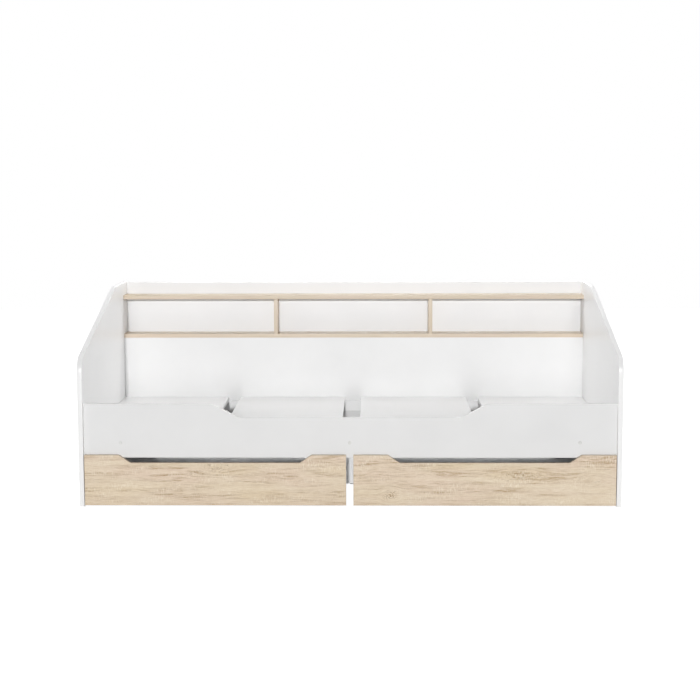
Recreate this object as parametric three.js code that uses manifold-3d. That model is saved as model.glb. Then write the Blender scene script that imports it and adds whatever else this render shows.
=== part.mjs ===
// Storage daybed: a boarded mattress base between two sloped side panels, a shelf unit
// along the back and two drawers that roll on the floor under the base.
// Lengths are millimetres. X runs along the bed, the front looks towards -Y and +Z is up.
// The origin is on the floor in the middle of the footprint. A depth is measured from the
// front edges of the side panels, and a height from the floor.
import * as THREE from 'three';
import { mergeVertices } from 'three/addons/utils/BufferGeometryUtils.js';
import Module from 'manifold-3d';

const wasm = await Module();
wasm.setup();

// Overall sizes
const bedLength = 1950;
const bedDepth = 1047;
const sideHeight = 739;
const sideThickness = 18;
const boardThickness = 16;

// Side panel outline: how far the slope climbs, and the level stretch on top
const slopeRise = 203;
const levelTopDepth = 286;
const frontCornerRadius = 60;
const topBendRadius = 120;

// Front rail with its scooped top edge
const railBottom = 180;
const railHeight = 195;
const scoopDrop = 49;
const scoopHalfWidth = 400;
const scoopRun = 92;
const scoopRadius = 50;

// Mattress base
const platformTop = 260;
const baseCentreGap = 68;
const baseSideGap = 50.5;
const baseEndPlay = 0.5;
const frontLedgerHeight = 60;
const rearLedgerHeight = 40;
const midBeamHeight = 60;
const lowerBackBottom = 120;

// Centre leg in front of the middle beam, and how far back the beam is between the rail and
// the lower back panel
const legWidth = 40;
const midBeamShare = 0.428;

// Shelf unit, hung from the top of the side panels
const shelfDepth = 91;
const shelfBayHeight = 145;
const topShelfDrop = 52;
const backPanelDrop = 4;

// Floor glides under the side panels and the leg
const glideRadius = 7.5;
const glideHeight = 3;
const glideChamfer = 1;
const glideInset = 45;

// Drawers: the front laps the rail, and the box stays clear under the boards across the bed
const drawerFrontLap = 12;
const drawerFloorGap = 8;
const drawerEndGap = 2;
const drawerMiddleGap = 26;
const drawerClosedGap = 0.3;
const gripEndInset = 124;
const gripSlopeRun = 42;
const gripDrop = 28;
const gripRadius = 12;
const drawerBoxInset = 15;
const drawerWallThickness = 15;
const drawerBoxDepth = 700;
const drawerHeadroom = 30;
const drawerBottomThickness = 10;
const grooveDepth = 5;
const grooveLift = 6;

// Castors under the drawer bottoms
const castorSideInset = 70;
const castorEndInset = 80;
const wheelRadius = 15;
const wheelWidth = 12;
const wheelTopGap = 5.5;
const wheelRimDepth = 4;
const wheelWebThickness = 5;
const wheelHubRadius = 6;
const wheelRimChamfer = 1;
const wheelPlay = 0.5;
const axleRadius = 2.5;
const axleHeadRadius = 4;
const axleHeadHeight = 1.2;
const earThickness = 2.5;
const earGap = 1;
const earHalfWidth = 16;
const earTipRadius = 7;
const castorPlateLength = 56;
const castorPlateWidth = 34;
const castorPlateThickness = 2.5;
const castorScrewInset = 6;

// Dowels: how far one stands out of the edge that it is glued into
const dowelRadius = 4;
const dowelReach = 10;

// Cam fittings: a bolt held by a cam that is sunk in the board's face
const camBoltRadius = 3;
const camBoltReach = 11;
const camRadius = 7.5;
const camSetback = 24;
const camPocketFloor = 3.5;
const camSunk = 0.4;
const camCrossLength = 10;
const camCrossWidth = 2;
const camCrossDepth = 3;

// Screws, and the caps over the rail screws
const screwShankRadius = 1.9;
const screwHeadRadius = 4;
const screwHeadHeight = 2.6;
const screwTipLength = 4;
const screwReach = 12;
const castorScrewShankRadius = 1.5;
const castorScrewHeadRadius = 3;
const castorScrewHeadHeight = 1.6;
const capRadius = 6;
const capHeight = 1.8;
const capCrownRadius = 4;
const capBelowBase = 10;
const capEndInset = 132;

// Clearances: round a fitting in its bore, past the end of one, how deep a fixed one is
// rooted in its board, and where a cut runs out
const fit = 0.3;
const endPlay = 0.5;
const root = 1;
const cutOverrun = 1;
const weldDistance = 0.0005;

// Where the fittings sit along the board ends that they hold
const railCamInset = 34;
const railCamLift = 28;
const railDowelInset = 62;
const railDowelLift = 20;
const backCamInset = 60;
const backCamLift = 90;
const backDowelInset = 110;
const backDowelLift = 40;
const upperBackDowelInset = 24;
const beamCamShare = 0.3;
const beamDowelShare = 0.72;
const shelfCamShare = 0.44;
const shelfDowelShare = 0.75;
const dividerDowelShare = 0.5;
const legLowScrewShare = 0.3;
const legHighScrewShare = 0.7;
const shelfSeatDowelInset = 480;
const rearLedgerScrewInset = 120;
const rearLedgerInnerScrewX = 150;
const backScrewInset = 150;
const drawerCamShare = 0.52;
const drawerDowelShare = 0.8;
const drawerCornerScrewInset = 24;

// Facets round a turned piece, and steps along an arc of an outline
const hiddenSides = 6;
const camSides = 8;
const roundSides = 12;
const boardSteps = 6;
const earSteps = 3;

// Sizes that follow from the ones above
const innerLength = bedLength - 2 * sideThickness;
const innerHalf = innerLength / 2;
const half = boardThickness / 2;
const frontY = -bedDepth / 2;
const railTop = railBottom + railHeight;
const slopeFootHeight = sideHeight - slopeRise;
const platformUnderside = platformTop - boardThickness;
const topShelfTop = sideHeight - topShelfDrop;
const topShelfUnderside = topShelfTop - boardThickness;
const lowerShelfTop = topShelfUnderside - shelfBayHeight;
const lowerShelfUnderside = lowerShelfTop - boardThickness;
const backPanelTop = sideHeight - backPanelDrop;
const upperBackDepth = bedDepth - boardThickness;
const lowerBackDepth = upperBackDepth - shelfDepth;
const railSetback = boardThickness + drawerClosedGap;
const railInnerDepth = railSetback + boardThickness;
const baseLength = lowerBackDepth - railInnerDepth - 2 * baseEndPlay;
const midBeamDepth = railInnerDepth + midBeamShare * (lowerBackDepth - railInnerDepth);
const legDepth = midBeamDepth - boardThickness;
const midBeamBottom = platformUnderside - midBeamHeight;
const frontLedgerBottom = platformUnderside - frontLedgerHeight;
const rearLedgerBottom = platformUnderside - rearLedgerHeight;
const rearLedgerDepth = lowerBackDepth - boardThickness;
const baseSpan = innerHalf - baseEndPlay - baseCentreGap / 2;
const baseBoardWidth = (baseSpan - baseSideGap) / 2;
const dividerX = (innerLength - 2 * boardThickness) / 6 + half;
const wheelBoreRadius = axleRadius + wheelPlay;
const castorHeight = 2 * wheelRadius + wheelTopGap + castorPlateThickness;
const axleDrop = castorHeight - wheelRadius;
const earOffset = wheelWidth / 2 + earGap;
const drawerWidth = (innerLength - 2 * drawerEndGap - drawerMiddleGap) / 2;
const drawerCentreX = (drawerMiddleGap + drawerWidth) / 2;
const drawerFrontHeight = railBottom + drawerFrontLap - drawerFloorGap;
const gripHalfWidth = drawerWidth / 2 - gripEndInset;
const drawerBoxWidth = drawerWidth - 2 * drawerBoxInset;
const drawerBoxInner = drawerBoxWidth - 2 * drawerWallThickness;
const drawerBoxTop = Math.min(railBottom, frontLedgerBottom, midBeamBottom) - drawerHeadroom;
const drawerWallBottom = castorHeight - grooveLift;
const drawerWallHeight = drawerBoxTop - drawerWallBottom;

// Finishes
function finish(color, roughness, metalness) {
  return new THREE.MeshStandardMaterial({ color, roughness, metalness, flatShading: true });
}
const whiteMelamine = finish(0xf3f3f2, 0.35, 0);
const oakDecor = finish(0xd9c4a3, 0.55, 0);
const zinc = finish(0xb9bbbd, 0.35, 1);
const whitePlastic = finish(0xf0f0ee, 0.4, 0);
const blackPlastic = finish(0x26272a, 0.5, 0);
const greyTread = finish(0x6f7276, 0.6, 0);

// Directions
const right = new THREE.Vector3(1, 0, 0);
const left = new THREE.Vector3(-1, 0, 0);
const forward = new THREE.Vector3(0, -1, 0);
const back = new THREE.Vector3(0, 1, 0);
const up = new THREE.Vector3(0, 0, 1);
const down = new THREE.Vector3(0, 0, -1);

function point(x, depth, height) {
  return new THREE.Vector3(x, frontY + depth, height);
}

// Closed meshes to solids that can be joined and cut, and back
function toSolid(geometry) {
  const bare = geometry.clone();
  bare.deleteAttribute('normal');
  bare.deleteAttribute('uv');
  const welded = mergeVertices(bare, weldDistance);
  const triVerts = [];
  for (let i = 0; i < welded.index.count; i += 3) {
    const [a, b, c] = [0, 1, 2].map((k) => welded.index.getX(i + k));
    if (a !== b && b !== c && c !== a) {
      triVerts.push(a, b, c);
    }
  }
  return new wasm.Manifold(new wasm.Mesh({
    numProp: 3,
    vertProperties: welded.getAttribute('position').array,
    triVerts: new Uint32Array(triVerts),
  }));
}

function toGeometry(solid) {
  const mesh = solid.getMesh();
  const geometry = new THREE.BufferGeometry();
  geometry.setAttribute('position', new THREE.BufferAttribute(mesh.vertProperties, 3));
  geometry.setIndex(new THREE.BufferAttribute(mesh.triVerts, 1));
  return geometry;
}

// Turns a shape made along +Y to point along an axis, and sets its origin at a place
function aimed(geometry, axis, at) {
  const turn = new THREE.Quaternion().setFromUnitVectors(back, axis);
  return geometry.applyQuaternion(turn).translate(at.x, at.y, at.z);
}

function rod(radius, length, sides, axis, middle) {
  return aimed(new THREE.CylinderGeometry(radius, radius, length, sides), axis, middle);
}

// Turned along +Y from an outline of [radius, distance] pairs
function turned(outline, sides, axis, at) {
  const points = outline.map(([radius, along]) => new THREE.Vector2(radius, along));
  return aimed(new THREE.LatheGeometry(points, sides), axis, at);
}

// A polygon whose corners are rounded where a radius is given
function roundedOutline(corners) {
  const shape = new THREE.Shape();
  corners.forEach(([x, y, radius], i) => {
    const corner = new THREE.Vector2(x, y);
    const [fromX, fromY] = corners[(i + corners.length - 1) % corners.length];
    const [toX, toY] = corners[(i + 1) % corners.length];
    const towardsLast = new THREE.Vector2(fromX, fromY).sub(corner).normalize();
    const towardsNext = new THREE.Vector2(toX, toY).sub(corner).normalize();
    const halfAngle = Math.acos(THREE.MathUtils.clamp(towardsLast.dot(towardsNext), -1, 1)) / 2;
    const tangent = radius / Math.tan(halfAngle);
    const start = corner.clone().addScaledVector(towardsLast, tangent);
    const end = corner.clone().addScaledVector(towardsNext, tangent);
    if (i === 0) {
      shape.moveTo(start.x, start.y);
    } else {
      shape.lineTo(start.x, start.y);
    }
    if (radius > 0) {
      const middleWay = towardsLast.clone().add(towardsNext).normalize();
      const centre = corner.clone().addScaledVector(middleWay, radius / Math.sin(halfAngle));
      const startAngle = Math.atan2(start.y - centre.y, start.x - centre.x);
      const endAngle = Math.atan2(end.y - centre.y, end.x - centre.x);
      const clockwise = towardsLast.cross(towardsNext) > 0;
      shape.absarc(centre.x, centre.y, radius, startAngle, endAngle, clockwise);
    }
  });
  return shape;
}

function extruded(shape, thickness, curveSegments = boardSteps) {
  const depth = thickness;
  return new THREE.ExtrudeGeometry(shape, { depth, bevelEnabled: false, curveSegments });
}

function rectangle(width, height) {
  return roundedOutline([
    [-width / 2, 0, 0],
    [width / 2, 0, 0],
    [width / 2, height, 0],
    [-width / 2, height, 0],
  ]);
}

// An outline drawn as seen from the front, extruded from its front face towards the back
function facingFront(shape, thickness) {
  return extruded(shape, thickness).rotateX(Math.PI / 2).translate(0, thickness, 0);
}

// An outline drawn as seen from the right, its first axis towards the back, extruded towards +X
function facingSide(shape, thickness, curveSegments = boardSteps) {
  return extruded(shape, thickness, curveSegments).rotateX(Math.PI / 2).rotateZ(Math.PI / 2);
}

function uprightBoard(length, height) {
  return facingFront(rectangle(length, height), boardThickness);
}

function flatBoard(length, depth, thickness) {
  return extruded(rectangle(length, depth), thickness);
}

// What is cut out of each board, and what is fixed in it for good, in the frame of its group
const bores = {};
const fixings = {};

function bore(boardName, cutter) {
  bores[boardName] ??= [];
  bores[boardName].push(toSolid(cutter));
}

function fix(boardName, solid) {
  fixings[boardName] ??= [];
  fixings[boardName].push(solid);
}

function piece(name, material, geometry, position) {
  const mesh = new THREE.Mesh(geometry, material);
  mesh.name = name;
  mesh.position.copy(position);
  return mesh;
}

function board(name, material, geometry, position) {
  const away = [-position.x, -position.y, -position.z];
  let solid = toSolid(geometry);
  for (const cutter of bores[name] ?? []) {
    solid = solid.subtract(cutter.translate(away));
  }
  for (const fixing of fixings[name] ?? []) {
    solid = solid.add(fixing.translate(away));
  }
  return piece(name, material, toGeometry(solid), position);
}

// A round pin fixed in the edge of one board and let into a bore in the face of the next.
// The axis points from the face board into the edge board.
function pin(faceBoard, edgeBoard, at, axis, radius, reach) {
  const middle = at.clone().addScaledVector(axis, (root - reach) / 2);
  fix(edgeBoard, toSolid(rod(radius, root + reach, hiddenSides, axis, middle)));
  const depth = reach + endPlay;
  const boreMiddle = at.clone().addScaledVector(axis, (cutOverrun - depth) / 2);
  bore(faceBoard, rod(radius + fit, depth + cutOverrun, hiddenSides, axis, boreMiddle));
}

function dowel(faceBoard, edgeBoard, at, axis) {
  pin(faceBoard, edgeBoard, at, axis, dowelRadius, dowelReach);
}

// A cam in a pocket in the edge board's face, with a cross recess, holds a bolt that
// reaches into the face board
function camFitting(faceBoard, edgeBoard, at, axis, face, edgeThickness) {
  pin(faceBoard, edgeBoard, at, axis, camBoltRadius, camBoltReach);
  const mouth = at.clone()
    .addScaledVector(axis, camSetback)
    .addScaledVector(face, edgeThickness / 2);
  const pocketDepth = edgeThickness - camPocketFloor;
  const pocketMiddle = mouth.clone().addScaledVector(face, (cutOverrun - pocketDepth) / 2);
  const pocketLength = pocketDepth + cutOverrun;
  bore(edgeBoard, rod(camRadius + fit, pocketLength, camSides, face, pocketMiddle));
  const camLength = pocketDepth + root - camSunk;
  const camMiddle = mouth.clone().addScaledVector(face, -camSunk - camLength / 2);
  let cam = toSolid(rod(camRadius, camLength, camSides, face, camMiddle));
  const across = new THREE.Vector3().crossVectors(face, axis);
  for (const [along, aside] of [[axis, across.clone().negate()], [across, axis]]) {
    const arm = new THREE.BoxGeometry(camCrossLength, 2 * camCrossDepth, camCrossWidth);
    arm.applyMatrix4(new THREE.Matrix4().makeBasis(along, face, aside));
    arm.translate(mouth.x, mouth.y, mouth.z);
    cam = cam.subtract(toSolid(arm));
  }
  fix(edgeBoard, cam);
}

// A countersunk screw, threaded into one board, holds another one under its head
const boardScrew = {
  shank: screwShankRadius,
  head: screwHeadRadius,
  headHeight: screwHeadHeight,
};
const castorScrew = {
  shank: castorScrewShankRadius,
  head: castorScrewHeadRadius,
  headHeight: castorScrewHeadHeight,
};

function screwBore(boardName, at, axis, size, depth, sides) {
  const wide = size.head + fit;
  const narrow = size.shank + fit;
  bore(boardName, turned([
    [0, -cutOverrun],
    [wide, -cutOverrun],
    [wide, 0],
    [narrow, size.headHeight + fit],
    [narrow, depth],
    [0, depth],
  ], sides, axis, at));
}

function screw(headBoard, threadBoard, at, axis, size, headBoardThickness) {
  fix(threadBoard, toSolid(turned([
    [0, 0],
    [size.head, 0],
    [size.shank, size.headHeight],
    [size.shank, headBoardThickness + root],
    [0, headBoardThickness + root],
  ], hiddenSides, axis, at)));
  screwBore(headBoard, at, axis, size, headBoardThickness + cutOverrun, hiddenSides);
}

// Both ends of a cross board are held to the side panels
const sidePanels = [
  { name: 'side_panel_left', sign: -1, inward: right },
  { name: 'side_panel_right', sign: 1, inward: left },
];

function holdEnds(boardName, face, camPlaces, dowelPlaces) {
  for (const side of sidePanels) {
    for (const [depth, height] of camPlaces) {
      const at = point(side.sign * innerHalf, depth, height);
      camFitting(side.name, boardName, at, side.inward, face, boardThickness);
    }
    for (const [depth, height] of dowelPlaces) {
      const at = point(side.sign * innerHalf, depth, height);
      dowel(side.name, boardName, at, side.inward);
    }
  }
}

holdEnds('front_rail', back, [
  [railSetback + half, railTop - railCamInset],
  [railSetback + half, platformTop + railCamLift],
], [
  [railSetback + half, railTop - railDowelInset],
  [railSetback + half, railBottom + railDowelLift],
]);
holdEnds('back_panel_lower', back, [
  [lowerBackDepth + half, lowerShelfUnderside - backCamInset],
  [lowerBackDepth + half, lowerBackBottom + backCamLift],
], [
  [lowerBackDepth + half, lowerShelfUnderside - backDowelInset],
  [lowerBackDepth + half, lowerBackBottom + backDowelLift],
]);
holdEnds('back_panel_upper', back, [], [
  [upperBackDepth + half, backPanelTop - upperBackDowelInset],
  [upperBackDepth + half, lowerShelfTop + upperBackDowelInset],
]);
holdEnds('mid_beam', back, [
  [midBeamDepth + half, midBeamBottom + beamCamShare * midBeamHeight],
], [
  [midBeamDepth + half, midBeamBottom + beamDowelShare * midBeamHeight],
]);
holdEnds('lower_shelf', down, [
  [lowerBackDepth + shelfCamShare * shelfDepth, lowerShelfTop - half],
], [
  [lowerBackDepth + shelfDowelShare * shelfDepth, lowerShelfTop - half],
]);
holdEnds('top_shelf', down, [
  [lowerBackDepth + shelfCamShare * shelfDepth, topShelfTop - half],
], [
  [lowerBackDepth + shelfDowelShare * shelfDepth, topShelfTop - half],
]);

// The dividers stand on dowels between the shelves, and the lower shelf on the back panel
const dividers = [['shelf_divider_left', -dividerX], ['shelf_divider_right', dividerX]];
for (const [name, x] of dividers) {
  const depth = lowerBackDepth + dividerDowelShare * shelfDepth;
  dowel('lower_shelf', name, point(x, depth, lowerShelfTop), up);
  dowel('top_shelf', name, point(x, depth, topShelfUnderside), down);
}
for (const x of [-innerHalf + shelfSeatDowelInset, innerHalf - shelfSeatDowelInset]) {
  const seat = point(x, lowerBackDepth + half, lowerShelfUnderside);
  dowel('lower_shelf', 'back_panel_lower', seat, down);
}

// Screws through the upper back panel into the shelves and the dividers
for (const [shelf, top] of [['lower_shelf', lowerShelfTop], ['top_shelf', topShelfTop]]) {
  for (const x of [-innerHalf + backScrewInset, 0, innerHalf - backScrewInset]) {
    const at = point(x, bedDepth, top - half);
    screw('back_panel_upper', shelf, at, forward, boardScrew, boardThickness);
  }
}
for (const [name, x] of dividers) {
  const at = point(x, bedDepth, (lowerShelfTop + topShelfUnderside) / 2);
  screw('back_panel_upper', name, at, forward, boardScrew, boardThickness);
}

// The rear ledger is screwed to the lower back panel
const rearLedgerScrewX = innerHalf - rearLedgerScrewInset;
for (const x of [-rearLedgerScrewX, -rearLedgerInnerScrewX, rearLedgerInnerScrewX, rearLedgerScrewX]) {
  const at = point(x, lowerBackDepth, platformUnderside - rearLedgerHeight / 2);
  pin('back_panel_lower', 'rear_ledger', at, forward, screwShankRadius, screwReach);
}

// Screws from behind the middle beam hold the leg
for (const share of [legLowScrewShare, legHighScrewShare]) {
  const at = point(0, midBeamDepth + boardThickness, midBeamBottom + share * midBeamHeight);
  screw('mid_beam', 'centre_leg', at, forward, boardScrew, boardThickness);
}

// Each rail screw goes through the rail into the front ledger and carries a cap on its head
const railScrewLength = boardThickness + screwReach;

function railScrew(number, x) {
  const at = point(x, railSetback, platformUnderside - capBelowBase);
  screwBore('front_rail', at, back, boardScrew, boardThickness + cutOverrun, roundSides);
  const pilotMiddle = at.clone().addScaledVector(back, boardThickness + (screwReach + endPlay) / 2);
  const pilotLength = screwReach + endPlay + 2 * cutOverrun;
  const pilotRadius = screwShankRadius + fit;
  bore('front_ledger', rod(pilotRadius, pilotLength, roundSides, back, pilotMiddle));
  const outline = [
    [0, -capHeight],
    [capCrownRadius, -capHeight],
    [capRadius, 0],
    [screwHeadRadius, 0],
    [screwShankRadius, screwHeadHeight],
    [screwShankRadius, railScrewLength - screwTipLength],
    [0, railScrewLength],
  ];
  const solid = toSolid(turned(outline, roundSides, back, new THREE.Vector3()));
  return piece(`rail_cap_screw_${number}`, whitePlastic, toGeometry(solid), at);
}

// Four boards lie across the ledgers and the beam, the outer two against the side panels
const outerBoardX = innerHalf - baseEndPlay - baseBoardWidth / 2;
const innerBoardX = (baseCentreGap + baseBoardWidth) / 2;
const baseBoardPlaces = [-outerBoardX, -innerBoardX, innerBoardX, outerBoardX];
baseBoardPlaces.forEach((x, i) => {
  const name = `base_board_${i + 1}`;
  dowel(name, 'front_ledger', point(x, railInnerDepth + half, platformUnderside), down);
  dowel(name, 'rear_ledger', point(x, rearLedgerDepth + half, platformUnderside), down);
});

// A glide is a low disc pressed against the underside that it protects
function glide(number, x, depth) {
  const solid = toSolid(turned([
    [0, 0],
    [glideRadius - glideChamfer, 0],
    [glideRadius, glideChamfer],
    [glideRadius, glideHeight],
    [0, glideHeight],
  ], roundSides, up, new THREE.Vector3()));
  return piece(`floor_glide_${number}`, blackPlastic, toGeometry(solid), point(x, depth, 0));
}

// Fixed boards
const sidePanelOutline = roundedOutline([
  [0, 0, 0],
  [bedDepth, 0, 0],
  [bedDepth, sideHeight - glideHeight, 0],
  [bedDepth - levelTopDepth, sideHeight - glideHeight, topBendRadius],
  [0, slopeFootHeight - glideHeight, frontCornerRadius],
]);

function sidePanel({ name, sign }) {
  const x = sign < 0 ? -bedLength / 2 : innerHalf;
  return board(name, whiteMelamine, facingSide(sidePanelOutline, sideThickness), point(x, 0, glideHeight));
}

const railOutline = roundedOutline([
  [-innerHalf, 0, 0],
  [innerHalf, 0, 0],
  [innerHalf, railHeight, 0],
  [scoopHalfWidth + scoopRun, railHeight, scoopRadius],
  [scoopHalfWidth, railHeight - scoopDrop, scoopRadius],
  [-scoopHalfWidth, railHeight - scoopDrop, scoopRadius],
  [-scoopHalfWidth - scoopRun, railHeight, scoopRadius],
  [-innerHalf, railHeight, 0],
]);

const frame = new THREE.Group();
const capPlaces = [-innerHalf + capEndInset, 0, innerHalf - capEndInset];
frame.add(...capPlaces.map((x, i) => railScrew(i + 1, x)));
const glideX = bedLength / 2 - sideThickness / 2;
const glidePlaces = [
  [-glideX, glideInset],
  [-glideX, bedDepth - glideInset],
  [glideX, glideInset],
  [glideX, bedDepth - glideInset],
  [0, legDepth + half],
];
frame.add(...glidePlaces.map(([x, depth], i) => glide(i + 1, x, depth)));
frame.add(...sidePanels.map(sidePanel));
frame.add(board(
  'front_rail',
  whiteMelamine,
  facingFront(railOutline, boardThickness),
  point(0, railSetback, railBottom),
));
frame.add(board(
  'front_ledger',
  whiteMelamine,
  uprightBoard(innerLength - 2 * baseEndPlay, frontLedgerHeight),
  point(0, railInnerDepth, frontLedgerBottom),
));
frame.add(board(
  'rear_ledger',
  whiteMelamine,
  uprightBoard(innerLength - 2 * baseEndPlay, rearLedgerHeight),
  point(0, rearLedgerDepth, rearLedgerBottom),
));
frame.add(board(
  'mid_beam',
  whiteMelamine,
  uprightBoard(innerLength, midBeamHeight),
  point(0, midBeamDepth, midBeamBottom),
));
frame.add(board(
  'centre_leg',
  whiteMelamine,
  uprightBoard(legWidth, platformUnderside - glideHeight),
  point(0, legDepth, glideHeight),
));
frame.add(board(
  'back_panel_lower',
  whiteMelamine,
  uprightBoard(innerLength, lowerShelfUnderside - lowerBackBottom),
  point(0, lowerBackDepth, lowerBackBottom),
));
frame.add(board(
  'back_panel_upper',
  whiteMelamine,
  uprightBoard(innerLength, backPanelTop - lowerShelfUnderside),
  point(0, upperBackDepth, lowerShelfUnderside),
));
for (const [name, height] of [['lower_shelf', lowerShelfUnderside], ['top_shelf', topShelfUnderside]]) {
  const shelf = flatBoard(innerLength, shelfDepth, boardThickness);
  frame.add(board(name, oakDecor, shelf, point(0, lowerBackDepth, height)));
}
for (const [name, x] of dividers) {
  const divider = flatBoard(boardThickness, shelfDepth, topShelfUnderside - lowerShelfTop);
  frame.add(board(name, oakDecor, divider, point(x, lowerBackDepth, lowerShelfTop)));
}
baseBoardPlaces.forEach((x, i) => {
  const baseBoard = flatBoard(baseBoardWidth, baseLength, boardThickness);
  const place = point(x, railInnerDepth + baseEndPlay, platformUnderside);
  frame.add(board(`base_board_${i + 1}`, whiteMelamine, baseBoard, place));
});

// Drawers, each in a frame of its own with X at its middle and Y at the back of its front
const drawerFrontOutline = roundedOutline([
  [-drawerWidth / 2, 0, 0],
  [drawerWidth / 2, 0, 0],
  [drawerWidth / 2, drawerFrontHeight, 0],
  [gripHalfWidth, drawerFrontHeight, gripRadius],
  [gripHalfWidth - gripSlopeRun, drawerFrontHeight - gripDrop, gripRadius],
  [gripSlopeRun - gripHalfWidth, drawerFrontHeight - gripDrop, gripRadius],
  [-gripHalfWidth, drawerFrontHeight, gripRadius],
  [-drawerWidth / 2, drawerFrontHeight, 0],
]);

const bottomWidth = drawerBoxInner + 2 * (grooveDepth - fit);
const bottomDepth = drawerBoxDepth - drawerWallThickness + 2 * (grooveDepth - fit);
const wallX = (drawerBoxInner + drawerWallThickness) / 2;
const drawerBackY = drawerBoxDepth - drawerWallThickness;

// The groove that the drawer bottom slides into, cut in all four boards round it
function grooveCutter() {
  const width = drawerBoxInner + 2 * grooveDepth;
  const depth = drawerBoxDepth - drawerWallThickness + 2 * grooveDepth;
  const height = drawerBottomThickness + fit;
  return flatBoard(width, depth, height).translate(0, -grooveDepth, castorHeight);
}

function drawer(side, centreX) {
  const name = (part) => `${side}_drawer_${part}`;
  const walls = [
    { name: name('left_side'), sign: -1, inward: right },
    { name: name('right_side'), sign: 1, inward: left },
  ];
  for (const part of ['front', 'back', 'left_side', 'right_side']) {
    bore(name(part), grooveCutter());
  }
  for (const wall of walls) {
    const camLift = drawerWallBottom + drawerCamShare * drawerWallHeight;
    const camAt = new THREE.Vector3(wall.sign * wallX, 0, camLift);
    camFitting(name('front'), wall.name, camAt, back, wall.inward, drawerWallThickness);
    const dowelLift = drawerWallBottom + drawerDowelShare * drawerWallHeight;
    dowel(name('front'), wall.name, new THREE.Vector3(wall.sign * wallX, 0, dowelLift), back);
    const screwY = drawerBackY + drawerWallThickness / 2;
    for (const height of [
      drawerBoxTop - drawerCornerScrewInset,
      castorHeight + drawerBottomThickness + drawerCornerScrewInset,
    ]) {
      const at = new THREE.Vector3(wall.sign * drawerBoxWidth / 2, screwY, height);
      screw(wall.name, name('back'), at, wall.inward, boardScrew, drawerWallThickness);
    }
  }

  const castorX = drawerBoxInner / 2 - castorSideInset;
  const castorPlaces = [
    [-castorX, castorEndInset],
    [castorX, castorEndInset],
    [-castorX, drawerBackY - castorEndInset],
    [castorX, drawerBackY - castorEndInset],
  ];
  const group = new THREE.Group();
  group.position.copy(point(centreX, boardThickness, 0));
  castorPlaces.forEach(([x, y], i) => group.add(...castor(side, i + 1, x, y)));

  const frontPlace = new THREE.Vector3(0, -boardThickness, drawerFloorGap);
  group.add(board(name('front'), oakDecor, facingFront(drawerFrontOutline, boardThickness), frontPlace));
  for (const wall of walls) {
    const geometry = flatBoard(drawerWallThickness, drawerBoxDepth, drawerWallHeight);
    const place = new THREE.Vector3(wall.sign * wallX, 0, drawerWallBottom);
    group.add(board(wall.name, whiteMelamine, geometry, place));
  }
  const backBoard = flatBoard(drawerBoxInner, drawerWallThickness, drawerWallHeight);
  const backPlace = new THREE.Vector3(0, drawerBackY, drawerWallBottom);
  group.add(board(name('back'), whiteMelamine, backBoard, backPlace));
  const bottomBoard = flatBoard(bottomWidth, bottomDepth, drawerBottomThickness);
  const bottomPlace = new THREE.Vector3(0, fit - grooveDepth, castorHeight);
  group.add(board(name('bottom'), whiteMelamine, bottomBoard, bottomPlace));
  return group;
}

// A castor that rolls straight: a plate with two ears, a pinned axle and a dished wheel
const earOutline = roundedOutline([
  [-earHalfWidth, -castorPlateThickness, 0],
  [-earTipRadius, -axleDrop - earTipRadius, earTipRadius],
  [earTipRadius, -axleDrop - earTipRadius, earTipRadius],
  [earHalfWidth, -castorPlateThickness, 0],
]);

const rimInnerRadius = wheelRadius - wheelRimDepth;
const halfWidth = wheelWidth / 2;
const halfWeb = wheelWebThickness / 2;
const wheelOutline = [
  [wheelBoreRadius, -halfWidth],
  [wheelHubRadius, -halfWidth],
  [wheelHubRadius, -halfWeb],
  [rimInnerRadius, -halfWeb],
  [rimInnerRadius, -halfWidth],
  [wheelRadius - wheelRimChamfer, -halfWidth],
  [wheelRadius, wheelRimChamfer - halfWidth],
  [wheelRadius, halfWidth - wheelRimChamfer],
  [wheelRadius - wheelRimChamfer, halfWidth],
  [rimInnerRadius, halfWidth],
  [rimInnerRadius, halfWeb],
  [wheelHubRadius, halfWeb],
  [wheelHubRadius, halfWidth],
  [wheelBoreRadius, halfWidth],
  [wheelBoreRadius, -halfWidth],
];

function castor(side, number, x, y) {
  const mountPlace = new THREE.Vector3(x, y, castorHeight);
  const axlePlace = new THREE.Vector3(x, y, wheelRadius);
  const housingName = `${side}_castor_housing_${number}`;

  const plate = new THREE.BoxGeometry(castorPlateWidth, castorPlateLength, castorPlateThickness);
  let housing = toSolid(plate.translate(0, 0, -castorPlateThickness / 2));
  for (const earX of [earOffset, -earOffset - earThickness]) {
    const ear = facingSide(earOutline, earThickness, earSteps).translate(earX, 0, 0);
    housing = housing.add(toSolid(ear));
  }
  const pinReach = earOffset + earThickness;
  bore(housingName, rod(axleRadius + fit, 2 * (pinReach + cutOverrun), hiddenSides, right, axlePlace));
  for (const screwY of [-1, 1]) {
    const inset = castorPlateLength / 2 - castorScrewInset;
    const at = new THREE.Vector3(x, y + screwY * inset, castorHeight - castorPlateThickness);
    screw(housingName, `${side}_drawer_bottom`, at, up, castorScrew, castorPlateThickness);
  }

  const headStart = pinReach + fit;
  const headEnd = headStart + axleHeadHeight;
  const axle = toSolid(turned([
    [0, -headEnd],
    [axleHeadRadius, -headEnd],
    [axleHeadRadius, -headStart],
    [axleRadius, -headStart],
    [axleRadius, headStart],
    [axleHeadRadius, headStart],
    [axleHeadRadius, headEnd],
    [0, headEnd],
  ], hiddenSides, right, new THREE.Vector3()));
  const wheel = toSolid(turned(wheelOutline, roundSides, right, new THREE.Vector3()));
  return [
    board(housingName, blackPlastic, toGeometry(housing), mountPlace),
    piece(`${side}_castor_axle_${number}`, zinc, toGeometry(axle), axlePlace),
    piece(`${side}_castor_wheel_${number}`, greyTread, toGeometry(wheel), axlePlace),
  ];
}

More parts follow.
